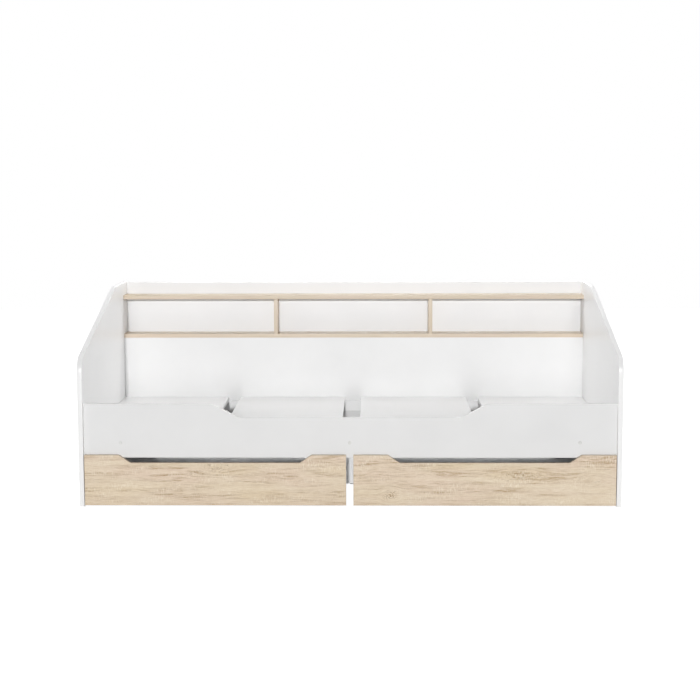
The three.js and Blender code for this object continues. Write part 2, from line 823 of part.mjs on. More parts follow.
const daybed = new THREE.Group();
daybed.add(frame);
daybed.add(drawer('left', -drawerCentreX));
daybed.add(drawer('right', drawerCentreX));

export default daybed;
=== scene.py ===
# Storage daybed in white melamine board and light oak decor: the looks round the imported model.
# Lengths are metres. X runs along the bed, the front looks towards -Y and +Z is up.
import math

import bmesh
import bpy
import numpy as np
from mathutils import Matrix, Vector


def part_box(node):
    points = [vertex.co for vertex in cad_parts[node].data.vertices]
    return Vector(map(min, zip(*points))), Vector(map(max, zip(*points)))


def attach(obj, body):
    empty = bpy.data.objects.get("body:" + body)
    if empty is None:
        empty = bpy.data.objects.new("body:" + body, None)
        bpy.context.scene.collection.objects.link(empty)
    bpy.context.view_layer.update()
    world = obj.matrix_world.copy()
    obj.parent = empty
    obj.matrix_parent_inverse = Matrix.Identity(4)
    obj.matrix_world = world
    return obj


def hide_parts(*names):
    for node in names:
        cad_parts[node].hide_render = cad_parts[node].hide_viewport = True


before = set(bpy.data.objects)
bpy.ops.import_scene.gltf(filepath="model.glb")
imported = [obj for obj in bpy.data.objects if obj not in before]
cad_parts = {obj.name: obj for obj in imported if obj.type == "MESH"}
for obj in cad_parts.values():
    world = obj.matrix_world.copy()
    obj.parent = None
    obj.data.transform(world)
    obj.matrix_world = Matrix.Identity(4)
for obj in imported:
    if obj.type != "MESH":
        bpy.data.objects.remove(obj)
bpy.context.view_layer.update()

MM = 0.001

# Edge bands: the rounding of an edge that shows, of one inside, and the glue line beside it
SHOWN_ROUND = 1.0 * MM
INNER_ROUND = 0.5 * MM
ROUND_STEPS = 3
GLUE_LINE = 0.15 * MM

# Meshes: from what angle an edge is sharp, the steps of arcs and turned pieces, how near points are
# merged, how far a cut runs past its board, and the play of pieces in each other
SMOOTH_ANGLE = math.radians(35)
ARC_STEP = math.radians(4)
LATHE_STEPS = 40
MERGE_DISTANCE = 0.01 * MM
OVERRUN = 1 * MM
CLEARANCE = 0.3 * MM

# How squarely a face looks along an axis to count as flat or as paper, and the share of the largest
# flat below which a flat is only the end of a dowel or screw
FLAT_FACING = 0.999
PAPER_FACING = 0.9999
FLAT_SHARE = 0.2
PLACE_DIGITS = 5

# Outlines of the routed boards
SLOPE_RISE = 203 * MM
LEVEL_TOP_DEPTH = 286 * MM
FRONT_CORNER_RADIUS = 60 * MM
TOP_BEND_RADIUS = 120 * MM
SCOOP_DROP = 49 * MM
SCOOP_HALF_WIDTH = 400 * MM
SCOOP_RUN = 92 * MM
SCOOP_RADIUS = 50 * MM
GRIP_END_INSET = 124 * MM
GRIP_SLOPE_RUN = 42 * MM
GRIP_DROP = 28 * MM
GRIP_RADIUS = 12 * MM

# Fittings sunk in the boards
CAM_RADIUS = 7.5 * MM
CAM_SETBACK = 24 * MM
CAM_SUNK = 0.4 * MM
CAM_POCKET = 9 * MM
CAM_CROSS = 10 * MM
CAM_CROSS_WIDTH = 2 * MM
CAM_CROSS_DEPTH = 3 * MM
CAM_CHAMFER = 0.6 * MM
CAM_ARROW_RADIUS = 1.1 * MM
CAM_ARROW_HEIGHT = 0.15 * MM
CAM_TURN = math.radians(12)
HOLE_PLAY = 0.3 * MM
SCREW_HEAD_RADIUS = 4 * MM
SCREW_SHANK_RADIUS = 1.9 * MM
SCREW_HEAD_HEIGHT = 2.6 * MM
SCREW_SUNK = 0.2 * MM
SCREW_CROSS = 4.4 * MM
SCREW_CROSS_WIDTH = 0.9 * MM
SCREW_CROSS_DEPTH = 1.6 * MM
SCREW_RIM_SHARE = 0.08
SCREW_TURN = math.pi
CASTOR_SCREW_SHARE = 0.75

# Where the fittings sit on their boards
RAIL_CAM_INSET = 34 * MM
RAIL_CAM_LIFT = 28 * MM
BACK_CAM_INSET = 60 * MM
BACK_CAM_LIFT = 90 * MM
BEAM_CAM_SHARE = 0.3
SHELF_CAM_SHARE = 0.44
DRAWER_CAM_SHARE = 0.52
BACK_SCREW_INSET = 150 * MM
LEDGER_SCREW_INSET = 120 * MM
LEDGER_INNER_SCREW_X = 150 * MM
LEG_SCREW_SHARES = (0.3, 0.7)
CORNER_SCREW_INSET = 24 * MM
CAP_BELOW_BASE = 10 * MM
CAP_END_INSET = 132 * MM

# Castors
PLATE_LENGTH = 56 * MM
PLATE_WIDTH = 34 * MM
PLATE_THICKNESS = 2.5 * MM
PLATE_CORNER = 5 * MM
PLATE_SCREW_INSET = 6 * MM
EAR_THICKNESS = 2.5 * MM
EAR_HALF_WIDTH = 16 * MM
EAR_TIP_RADIUS = 7 * MM
EAR_TIP_ROUND = 0.98 * EAR_TIP_RADIUS
EAR_GAP = 1 * MM
MOULD_ROUND = 0.5 * MM
WHEEL_WIDTH = 12 * MM
WHEEL_RIM = 4 * MM
TREAD_THICKNESS = 2 * MM
WHEEL_WEB = 5 * MM
WHEEL_HUB_RADIUS = 6 * MM
WHEEL_ROUND = 1 * MM
WHEEL_RIBS = 6
WHEEL_RIB_THICKNESS = 1 * MM
AXLE_RADIUS = 2.5 * MM
AXLE_BORE_RADIUS = 3 * MM
AXLE_HEAD_RADIUS = 4 * MM
AXLE_HEAD_HEIGHT = 1.2 * MM

# Caps on the rail screws, and floor glides
CAP_RADIUS = 6 * MM
CAP_HEIGHT = 1.8 * MM
CAP_LIP = 0.5 * MM
CAP_CROWN_SHARE = 0.35
CAP_DRAFT_SHARE = 0.15
CAP_DIMPLE_SHARE = 0.25
CAP_DIMPLE_RIM_SHARE = 0.96
CAP_DIMPLE_FLOOR_SHARE = 0.9
GLIDE_RADIUS = 7.5 * MM
GLIDE_HEIGHT = 3 * MM
GLIDE_ROUND = 1 * MM

X, Y, Z = Vector((1, 0, 0)), Vector((0, 1, 0)), Vector((0, 0, 1))


# Colours and nodes

def paint(hex_colour):
    """An sRGB hex colour as linear red, green, blue and alpha."""
    channels = [int(hex_colour[i:i + 2], 16) / 255 for i in (1, 3, 5)]
    linear = [c / 12.92 if c <= 0.04045 else ((c + 0.055) / 1.055) ** 2.4 for c in channels]
    return (*linear, 1)


def add(tree, kind, inputs=None, **settings):
    """Adds a node. Settings are its properties. An input is a value, a socket, or a node whose
    first output feeds it."""
    node = tree.nodes.new(kind)
    for name, value in settings.items():
        setattr(node, name, value)
    for name, value in (inputs or {}).items():
        if isinstance(value, bpy.types.Node):
            value = value.outputs[0]
        if isinstance(value, bpy.types.NodeSocket):
            tree.links.new(value, node.inputs[name])
        else:
            node.inputs[name].default_value = value
    return node


def limits(pattern, low, high, least=0.0, most=1.0):
    """What a Map Range node takes: the pattern from low to high becomes least to most."""
    return {"Value": pattern, "From Min": low, "From Max": high, "To Min": least, "To Max": most}


def begin(name):
    """A new finish: its material, its tree, and the place of each point on the object."""
    material = bpy.data.materials.new(name)
    material.use_nodes = True
    tree = material.node_tree
    tree.nodes.clear()
    return material, tree, add(tree, "ShaderNodeTexCoord").outputs["Object"]


def grain(tree, place, size, detail=3.0, roughness=0.5):
    """Noise whose features have a real size, or a length along X and a width across it."""
    along, across = size if isinstance(size, tuple) else (size, size)
    fitted = add(tree, "ShaderNodeMapping", {"Vector": place, "Scale": (1 / along, 1 / across, 1 / across)})
    return add(tree, "ShaderNodeTexNoise", {
        "Vector": fitted, "Scale": 1.0, "Detail": detail, "Roughness": roughness})


def layer(tree, colour, pigment, pattern, low, high, least=0.0, most=1.0):
    """Lays a pigment over a colour, the more the further a pattern has come from low to high."""
    share = add(tree, "ShaderNodeMapRange", limits(pattern, low, high, least, most))
    laid = add(tree, "ShaderNodeMix", {"Factor": share, 6: colour, 7: paint(pigment)}, data_type="RGBA")
    return laid.outputs[2]


def finish_off(tree, colour, polish, smooth, rough, relief, depth, metallic=0.0):
    """Closes a finish: a pattern moves the roughness between two values, and a relief has a real
    depth."""
    roughness = add(tree, "ShaderNodeMapRange", limits(polish, 0.3, 0.7, smooth, rough))
    bump = add(tree, "ShaderNodeBump", {"Height": relief, "Distance": depth})
    shader = add(tree, "ShaderNodeBsdfPrincipled", {
        "Base Color": colour, "Roughness": roughness, "Normal": bump, "Metallic": metallic})
    add(tree, "ShaderNodeOutputMaterial", {"Surface": shader})


# Finishes

def melamine_paper(name, darker, lighter):
    """White melamine paper pressed on particle board: even and semi-gloss, with a faint cloudiness
    of the core under it. Its pearl texture is 0.4 mm in fact and is drawn at 1.2 mm, so that it
    breaks up reflections a little."""
    material, tree, place = begin(name)
    clouds = grain(tree, place, 180 * MM, 4)
    colour = layer(tree, paint(darker), lighter, clouds, 0.3, 0.7)
    sheen = grain(tree, place, 60 * MM)
    pearl = grain(tree, place, 1.2 * MM, 2)
    finish_off(tree, colour, sheen, 0.28, 0.34, pearl, 0.002 * MM)
    return material


def white_edge_band():
    """White ABS edge band, 1 mm, scraped round: about as glossy as the paper, with faint chatter
    marks of the scraper along it."""
    material, tree, place = begin("white_abs_band")
    tone = grain(tree, place, 90 * MM, 2)
    colour = layer(tree, paint("#F2F2F2"), "#F5F5F5", tone, 0.3, 0.7)
    chatter = grain(tree, place, 2.5 * MM, 2)
    finish_off(tree, colour, chatter, 0.26, 0.36, chatter, 0.004 * MM)
    return material


def glue_line(name, colour, darker):
    """The hair line of hot-melt glue between paper and band: a shade darker than they are, dull,
    with specks of dirt of 3 mm."""
    material, tree, place = begin(name)
    specks = grain(tree, place, 3 * MM, 2)
    colour = layer(tree, paint(colour), darker, specks, 0.3, 0.7)
    finish_off(tree, colour, specks, 0.55, 0.65, specks, 0.01 * MM)
    return material


def chipboard():
    """Particle board core where it is cut: flat beige and brown chips of 1 to 4 mm, dry and rough."""
    material, tree, place = begin("chipboard_core")
    chips = add(tree, "ShaderNodeTexVoronoi", {"Vector": place, "Scale": 1 / (2.4 * MM)})
    shade = add(tree, "ShaderNodeSeparateColor", {"Color": chips.outputs["Color"]})
    colour = layer(tree, paint("#8C6F4B"), "#B4946A", shade, 0.0, 0.35)
    colour = layer(tree, colour, "#C9AD84", shade, 0.35, 0.7)
    colour = layer(tree, colour, "#D8C3A0", shade, 0.7, 1.0)
    finish_off(tree, colour, shade, 0.8, 0.9, chips.outputs["Distance"], 0.3 * MM)
    return material


def oak_paper(name, turn, shift, figures=()):
    """Light rough-sawn oak printed on paper and pressed with a satin grain: beige with honey and
    pinkish fields, brown streaks that bow round the figures, fine fibres, pores and saw flecks. It
    shines only where it is seen at a low angle, as on the tops of the shelves. The paper is cut
    from the print at a shift. A figure is (centre, half length, half height, how dark)."""
    material, tree, place = begin(name)
    board = add(tree, "ShaderNodeMapping", {"Vector": place, "Rotation": turn})
    wavy = grain(tree, board, (45 * MM, 11 * MM))
    gaps = grain(tree, board, (30 * MM, 14 * MM), 2)
    lines, flame = board, 0.0
    for centre, half_length, half_height, darkness in figures:
        offset = add(tree, "ShaderNodeVectorMath", {0: board, 1: centre}, operation="SUBTRACT")
        spans = (1 / half_length, 1 / half_height, 1 / half_height)
        scaled = add(tree, "ShaderNodeVectorMath", {0: offset, 1: spans}, operation="MULTIPLY")
        reach = add(tree, "ShaderNodeVectorMath", {0: scaled}, operation="LENGTH").outputs["Value"]
        near = add(tree, "ShaderNodeMapRange", limits(reach, 0.4, 2.4, 0.75, 0.0))
        across = add(tree, "ShaderNodeCombineXYZ", {"Y": near, "Z": near})
        bow = add(tree, "ShaderNodeVectorMath", {0: offset, 1: across}, operation="MULTIPLY")
        lines = add(tree, "ShaderNodeVectorMath", {0: lines, 1: bow}, operation="SUBTRACT")
        ragged = add(tree, "ShaderNodeMapRange", limits(wavy, 0.2, 0.8, -0.9, 0.9))
        uneven = add(tree, "ShaderNodeMath", {0: reach, 1: ragged}, operation="ADD")
        turns = add(tree, "ShaderNodeMath", {0: uneven, 1: FIGURE_RINGS}, operation="MULTIPLY")
        rings = add(tree, "ShaderNodeMath", {0: turns}, operation="SINE")
        faded = add(tree, "ShaderNodeMapRange", limits(reach, 0.5, 1.5, darkness, 0.0))
        drawn = add(tree, "ShaderNodeMapRange", limits(rings, 0.1, 0.9, 0.0, faded))
        worn = add(tree, "ShaderNodeMapRange", limits(gaps, 0.4, 0.6, 0.15, 1.0))
        broken = add(tree, "ShaderNodeMath", {0: drawn, 1: worn}, operation="MULTIPLY")
        flame = add(tree, "ShaderNodeMath", {0: broken, 1: flame}, operation="MAXIMUM")
    lines = add(tree, "ShaderNodeVectorMath", {0: lines, 1: shift}, operation="ADD")

    # Fields of tone, bands of 20 to 30 mm, streaks of 3 to 8 mm that sway, and fibres of 2 mm
    fields = grain(tree, lines, (380 * MM, 90 * MM), 2)
    bands = grain(tree, lines, (330 * MM, 24 * MM), 3, 0.55)
    swing = grain(tree, lines, (150 * MM, 60 * MM), 2)
    sway = add(tree, "ShaderNodeMapRange", limits(swing, 0.2, 0.8, -5 * MM, 5 * MM))
    aside = add(tree, "ShaderNodeCombineXYZ", {"Y": sway, "Z": sway})
    swayed = add(tree, "ShaderNodeVectorMath", {0: lines, 1: aside}, operation="ADD")
    streaks = grain(tree, swayed, (105 * MM, 5.5 * MM), 5, 0.72)
    fibres = grain(tree, lines, (24 * MM, 1.8 * MM))

    colour = layer(tree, paint("#DECDB1"), "#DFCFB8", fields, 0.36, 0.5)
    colour = layer(tree, colour, "#DFCCB8", fields, 0.5, 0.64)
    colour = layer(tree, colour, "#E9DCC6", bands, 0.48, 0.34, 0.0, 0.55)
    most = add(tree, "ShaderNodeMapRange", limits(bands, 0.42, 0.6, 0.12, 1.0))
    streaked = add(tree, "ShaderNodeMapRange", limits(streaks, 0.47, 0.66, 0.0, most))
    colour = layer(tree, colour, "#A08158", streaked, 0.0, 1.0)
    colour = layer(tree, colour, "#BEA27A", fibres, 0.38, 0.7, 0.0, 0.45)
    colour = layer(tree, colour, "#8F7049", flame, 0.0, 1.0)

    # Pale flecks that the saw left across the grain, in patches
    saw = grain(tree, board, (4 * MM, 15 * MM), 1)
    patches = grain(tree, lines, (110 * MM, 40 * MM), 1)
    most = add(tree, "ShaderNodeMapRange", limits(patches, 0.48, 0.66, 0.06, 0.42))
    colour = layer(tree, colour, "#F2E9D8", saw, 0.5, 0.64, 0.0, most)

    # Pores, 0.1 mm wide in fact and drawn at 0.45 mm so that they show, mostly in the streaks
    pores = grain(tree, lines, (7 * MM, 0.45 * MM), 1)
    most = add(tree, "ShaderNodeMapRange", limits(streaked, 0.0, 0.4, 0.35, 0.9))
    drawn_pores = add(tree, "ShaderNodeMapRange", limits(pores, 0.6, 0.7, 0.0, most))
    colour = layer(tree, colour, "#8A6D45", drawn_pores, 0.0, 1.0, 0.0, 0.45)
    raised = add(tree, "ShaderNodeMath", {0: fibres, 1: 0.4}, operation="MULTIPLY")
    pressed = add(tree, "ShaderNodeMath", {0: raised, 1: drawn_pores}, operation="SUBTRACT")
    finish_off(tree, colour, fibres, 0.3, 0.4, pressed, 0.035 * MM)
    return material


def oak_edge_band(name, turn, tint):
    """Oak print edge band: narrower streaks than the paper and a shade darker, so the edges draw
    the outline of the shelves."""
    material, tree, place = begin(name)
    board = add(tree, "ShaderNodeMapping", {"Vector": place, "Rotation": turn})
    streaks = grain(tree, board, (130 * MM, 3 * MM), 4, 0.6)
    tone = grain(tree, board, (350 * MM, 20 * MM), 1)
    colour = layer(tree, paint("#C5B49C"), "#D0C2AC", streaks, 0.32, 0.5)
    colour = layer(tree, colour, "#D7CAB7", streaks, 0.5, 0.68)
    colour = layer(tree, colour, tint, tone, 0.35, 0.65, 0.1, 0.5)
    finish_off(tree, colour, streaks, 0.42, 0.55, streaks, 0.03 * MM)
    return material


def moulded_plastic(name, darker, lighter, smooth, rough, sparks, depth):
    """Injection moulded plastic: one colour, with the fine spark-eroded grain of its mould, which
    gives a soft, even sheen."""
    material, tree, place = begin(name)
    tone = grain(tree, place, 14 * MM, 2)
    colour = layer(tree, paint(darker), lighter, tone, 0.3, 0.7)
    skin = grain(tree, place, sparks, 2)
    finish_off(tree, colour, skin, smooth, rough, skin, depth)
    return material


def rolling_tread():
    """Thermoplastic rubber tread: matt mid grey, slightly dusty where it has rolled."""
    material, tree, place = begin("grey_rubber_tread")
    dust = grain(tree, place, 5 * MM, 4, 0.65)
    colour = layer(tree, paint("#66696C"), "#707376", dust, 0.35, 0.6)
    colour = layer(tree, colour, "#85827C", dust, 0.6, 0.75)
    finish_off(tree, colour, dust, 0.55, 0.75, grain(tree, place, 0.7 * MM, 2), 0.03 * MM)
    return material


def bare_metal(name, darker, lighter, smooth, rough, pits, depth):
    """Zinc: grey with a cloudy skin where it is cast, bluish bright where it is plated on steel."""
    material, tree, place = begin(name)
    skin = grain(tree, place, 4 * MM)
    colour = layer(tree, paint(darker), lighter, skin, 0.35, 0.65)
    pitted = grain(tree, place, pits)
    finish_off(tree, colour, pitted, smooth, rough, pitted, depth, metallic=1.0)
    return material


# How the grain lies, and how closely a figure is ringed, in radians over half its length
ALONG_X = (0, 0, 0)
ALONG_Z = (0, math.radians(90), 0)
FIGURE_RINGS = 13.0

# The rail, the lower back and the backs of the niches get the same white paper as the other boards, painted
# a shade greyer: painted shade for the dimmer light on them. The niche paper also has a faint cool tint,
# painted against the warm light that the oak shelves throw on it.
white_paper = melamine_paper("white_melamine_paper", "#F6F6F6", "#F9F9F9")
shaded_panel_melamine = melamine_paper("panel_melamine_paper", "#E0E0E0", "#E4E4E4")
shaded_niche_melamine = melamine_paper("niche_melamine_paper", "#E1E2E4", "#E4E5E7")
white_band = white_edge_band()
white_glue = glue_line("white_glue_line", "#E2E1DE", "#C9C6C0")
core = chipboard()
oak_glue = glue_line("oak_glue_line", "#C2A985", "#A89274")
oak_band = oak_edge_band("oak_band_long", ALONG_X, "#D2BDAE")
oak_band_upright = oak_edge_band("oak_band_upright", ALONG_Z, "#D2C0B2")

# Flame figures in the decor of the drawer fronts
FRONT_FACE = -0.5235
LEFT_FIGURES = [
    ((-0.474, FRONT_FACE, 0.150), 45 * MM, 17 * MM, 1.0),
    ((-0.545, FRONT_FACE, 0.126), 32 * MM, 9 * MM, 1.0),
]
RIGHT_FIGURES = [
    ((0.332, FRONT_FACE, 0.122), 32 * MM, 9 * MM, 0.35),
    ((0.603, FRONT_FACE, 0.117), 80 * MM, 18 * MM, 0.8),
    ((0.147, FRONT_FACE, 0.046), 22 * MM, 20 * MM, 1.0),
    ((0.866, FRONT_FACE, 0.095), 38 * MM, 18 * MM, 0.3),
]

shelf_oak = oak_paper("oak_paper_shelves", ALONG_X, (0.31, 0.07, 0.12))
divider_oak = oak_paper("oak_paper_dividers", ALONG_Z, (0.1, 0.05, 0.3))
left_oak = oak_paper("oak_paper_left_drawer", ALONG_X, (0.52, 0.0, -0.13), LEFT_FIGURES)
right_oak = oak_paper("oak_paper_right_drawer", ALONG_X, (-0.44, 0.03, -0.11), RIGHT_FIGURES)
# The white caps are painted grey: painted shade for the shade round their lips on the greyer rail
shaded_cap_moulding = moulded_plastic("white_cap_plastic", "#D7D7D5", "#DCDCDA", 0.3, 0.38, 0.6 * MM, 0.01 * MM)
black_nylon = moulded_plastic("black_nylon", "#1C1D1F", "#232427", 0.38, 0.5, 0.5 * MM, 0.02 * MM)
grey_nylon = moulded_plastic("grey_nylon", "#4A4C4F", "#525457", 0.4, 0.5, 0.5 * MM, 0.02 * MM)
tread_rubber = rolling_tread()
cast_zinc = bare_metal("cast_zinc", "#9C9EA0", "#ADAFB1", 0.38, 0.52, 0.5 * MM, 0.02 * MM)
plated_steel = bare_metal("zinc_plated_steel", "#BEC2C6", "#CACDD0", 0.24, 0.34, 0.8 * MM, 0.006 * MM)

# Boards: paper, band, glue line, and the core that shows in their holes
WHITE_BOARD = (white_paper, white_band, white_glue, core)
# The panel and niche boards carry the greyer papers of painted shade
PANEL_SHADE_BOARD = (shaded_panel_melamine, white_band, white_glue, core)
NICHE_SHADE_BOARD = (shaded_niche_melamine, white_band, white_glue, core)
SHELF_BOARD = (shelf_oak, oak_band, oak_glue, core)
DIVIDER_BOARD = (divider_oak, oak_band_upright, oak_glue, core)
LEFT_FRONT_BOARD = (left_oak, oak_band, oak_glue, core)
RIGHT_FRONT_BOARD = (right_oak, oak_band, oak_glue, core)
PAPER, BAND, GLUE = range(3)


# Sizes from the frame

def bare_board(node):
    """Lowest and highest corner of a board without its dowels and screws: in each direction, the
    outermost flat that isn't small beside the largest one."""
    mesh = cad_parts[node].data
    mesh.calc_loop_triangles()
    corners = np.array([v.co[:] for v in mesh.vertices])
    triangles = np.array([t.vertices[:] for t in mesh.loop_triangles])
    a, b, c = (corners[triangles[:, i]] for i in range(3))
    normals = np.cross(b - a, c - a)
    areas = np.linalg.norm(normals, axis=1)
    found = {-1: Vector(), 1: Vector()}
    for axis in range(3):
        for side in found:
            facing = side * normals[:, axis] > FLAT_FACING * areas
            places = np.round(a[facing, axis], PLACE_DIGITS)
            levels = np.unique(places)
            sums = np.array([areas[facing][places == level].sum() for level in levels])
            found[side][axis] = side * (side * levels[sums > FLAT_SHARE * sums.max()]).max()
    return found[-1], found[1]


# Meshes

def object_from(bm, name, materials):
    mesh = bpy.data.meshes.new(name)
    bm.to_mesh(mesh)
    bm.free()
    for material in materials:
        mesh.materials.append(material)
    made = bpy.data.objects.new(name, mesh)
    bpy.context.scene.collection.objects.link(made)
    return made


def apply_modifiers(piece):
    """Turns what the modifiers make into the piece's own plain mesh."""
    made = bpy.data.meshes.new_from_object(piece.evaluated_get(bpy.context.evaluated_depsgraph_get()))
    piece.modifiers.clear()
    old = piece.data
    piece.data = made
    made.name = piece.name
    bpy.data.meshes.remove(old)


def discard(*objects):
    for piece in objects:
        mesh = piece.data
        bpy.data.objects.remove(piece)
        bpy.data.meshes.remove(mesh)


def rounded(corners):
    """The points of a polygon whose corners, (x, y, radius), are rounded."""
    points = []
    for i, (x, y, radius) in enumerate(corners):
        corner = Vector((x, y))
        before = (Vector(corners[i - 1][:2]) - corner).normalized()
        after = (Vector(corners[(i + 1) % len(corners)][:2]) - corner).normalized()
        if radius == 0:
            points.append((x, y))
            continue
        half_angle = before.angle(after) / 2
        centre = corner + (before + after).normalized() * radius / math.sin(half_angle)
        start = corner + before * radius / math.tan(half_angle) - centre
        end = corner + after * radius / math.tan(half_angle) - centre
        sweep = start.angle_signed(end)
        steps = max(2, round(abs(sweep) / ARC_STEP))
        for k in range(steps + 1):
            points.append(tuple(centre + Matrix.Rotation(-sweep * k / steps, 2) @ start))
    return points


def rectangle(low, high):
    return [(low[0], low[1]), (high[0], low[1]), (high[0], high[1]), (low[0], high[1])]


def upright_front(u, v, w):
    return Vector((u, w, v))


def upright_side(u, v, w):
    return Vector((w, u, v))


def lying(u, v, w):
    return Vector((u, v, w))


def extrude(bm, outline, plane, low, high):
    """A closed solid from an outline, between two distances along the normal of its plane."""
    near = [bm.verts.new(plane(u, v, low)) for u, v in outline]
    far = [bm.verts.new(plane(u, v, high)) for u, v in outline]
    faces = [bm.faces.new(near), bm.faces.new(far[::-1])]
    for i in range(len(outline)):
        j = (i + 1) % len(outline)
        faces.append(bm.faces.new((near[j], near[i], far[i], far[j])))
    bmesh.ops.recalc_face_normals(bm, faces=faces)


def round_edges(bm, radius, steps=ROUND_STEPS):
    sharp = [e for e in bm.edges if e.is_manifold and e.calc_face_angle() > SMOOTH_ANGLE]
    bmesh.ops.bevel(bm, geom=sharp, offset=radius, offset_type="OFFSET", segments=steps, profile=0.5,
                    affect="EDGES", clamp_overlap=True)


def smooth_sides(piece, flat_indices=()):
    """Smooth shading except over sharp edges and round the faces of materials that lie flat."""
    mesh = piece.data
    mesh.shade_smooth()
    mesh.set_sharp_from_angle(angle=SMOOTH_ANGLE)
    rims = {}
    for polygon in mesh.polygons:
        flat = polygon.material_index in flat_indices
        for key in polygon.edge_keys:
            rims.setdefault(key, set()).add(flat)
    for edge in mesh.edges:
        if len(rims.get(edge.key, ())) == 2:
            edge.use_edge_sharp = True


def make_board(name, outline, plane, low, high, finish, rounding=INNER_ROUND):
    """A board with paper on its two faces, bands round its edges and the glue line between."""
    bm = bmesh.new()
    extrude(bm, outline, plane, low, high)
    round_edges(bm, rounding)
    thickness_axis = plane(0, 0, 1)
    bm.normal_update()
    papers = []
    for face in bm.faces:
        on_face = abs(face.normal.dot(thickness_axis)) > PAPER_FACING
        face.material_index = PAPER if on_face else BAND
        if on_face:
            papers.append(face)
    rims = bmesh.ops.inset_region(bm, faces=papers, thickness=GLUE_LINE, depth=0, use_even_offset=True)
    for face in rims["faces"]:
        face.material_index = GLUE
    return object_from(bm, name, finish)


def cut(piece, others, operation="DIFFERENCE"):
    """Takes other pieces away from a piece, or joins them to it. The faces that they make keep
    their materials."""
    for other in others:
        for material in other.data.materials:
            if material.name not in piece.data.materials:
                piece.data.materials.append(material)
        change = piece.modifiers.new("cut", "BOOLEAN")
        change.operation = operation
        change.solver = "EXACT"
        change.object = other
        change.material_mode = "TRANSFER"
    apply_modifiers(piece)
    discard(*others)


def join_up(piece, *others):
    cut(piece, others, "UNION")


def quarter(steps):
    """Sine and cosine of even steps from 0 to a right angle."""
    angles = [math.pi / 2 * k / steps for k in range(steps + 1)]
    return [(math.sin(angle), math.cos(angle)) for angle in angles]


def lathe(bm, profile, steps=LATHE_STEPS, index=0):
    """Turns an outline of (radius, height) pairs about Z into a closed solid."""
    rings = []
    for radius, height in profile:
        if radius == 0:
            rings.append([bm.verts.new((0, 0, height))] * steps)
            continue
        angles = [2 * math.pi * k / steps for k in range(steps)]
        rings.append([bm.verts.new((radius * math.cos(a), radius * math.sin(a), height)) for a in angles])
    for lower, upper in zip(rings, rings[1:]):
        for k in range(steps):
            corners = list(dict.fromkeys((lower[k - 1], lower[k], upper[k], upper[k - 1])))
            if len(corners) > 2:
                bm.faces.new(corners).material_index = index


def turned(name, profile, materials, steps=LATHE_STEPS):
    bm = bmesh.new()
    lathe(bm, profile, steps)
    bmesh.ops.recalc_face_normals(bm, faces=bm.faces)
    return object_from(bm, name, materials)


def hole_cutter(holes):
    """One cutter for round holes: (mouth, direction out of the board, mouth and floor radius, depth)."""
    bm = bmesh.new()
    for mouth, out, wide, narrow, depth in holes:
        start = len(bm.verts)
        lathe(bm, [(0, -depth), (narrow, -depth), (wide, 0), (wide, OVERRUN), (0, OVERRUN)])
        bm.verts.ensure_lookup_table()
        turn = Z.rotation_difference(out).to_matrix().to_4x4()
        bmesh.ops.transform(bm, matrix=Matrix.Translation(mouth) @ turn, verts=bm.verts[start:])
    bmesh.ops.recalc_face_normals(bm, faces=bm.faces)
    return object_from(bm, "hole_cutter", [core])


def box_cutter(name, low, high, material):
    bm = bmesh.new()
    extrude(bm, rectangle(low, high), lying, low[2], high[2])
    return object_from(bm, name, [material])


def cross_cutter(length, width, depth, material):
    """The two crossed slots of a driver recess, open at Z 0."""
    half_length, half_width = length / 2, width / 2
    low, high = (-half_length, -half_width, -depth), (half_length, half_width, OVERRUN)
    arms = box_cutter("cross_arm", low, high, material)
    bm = bmesh.new()
    bm.from_mesh(arms.data)
    bmesh.ops.rotate(bm, matrix=Matrix.Rotation(math.pi / 2, 3, "Z"), verts=bm.verts)
    crossing = object_from(bm, "crossing_arm", [material])
    join_up(arms, crossing)
    return arms


# Copies at points

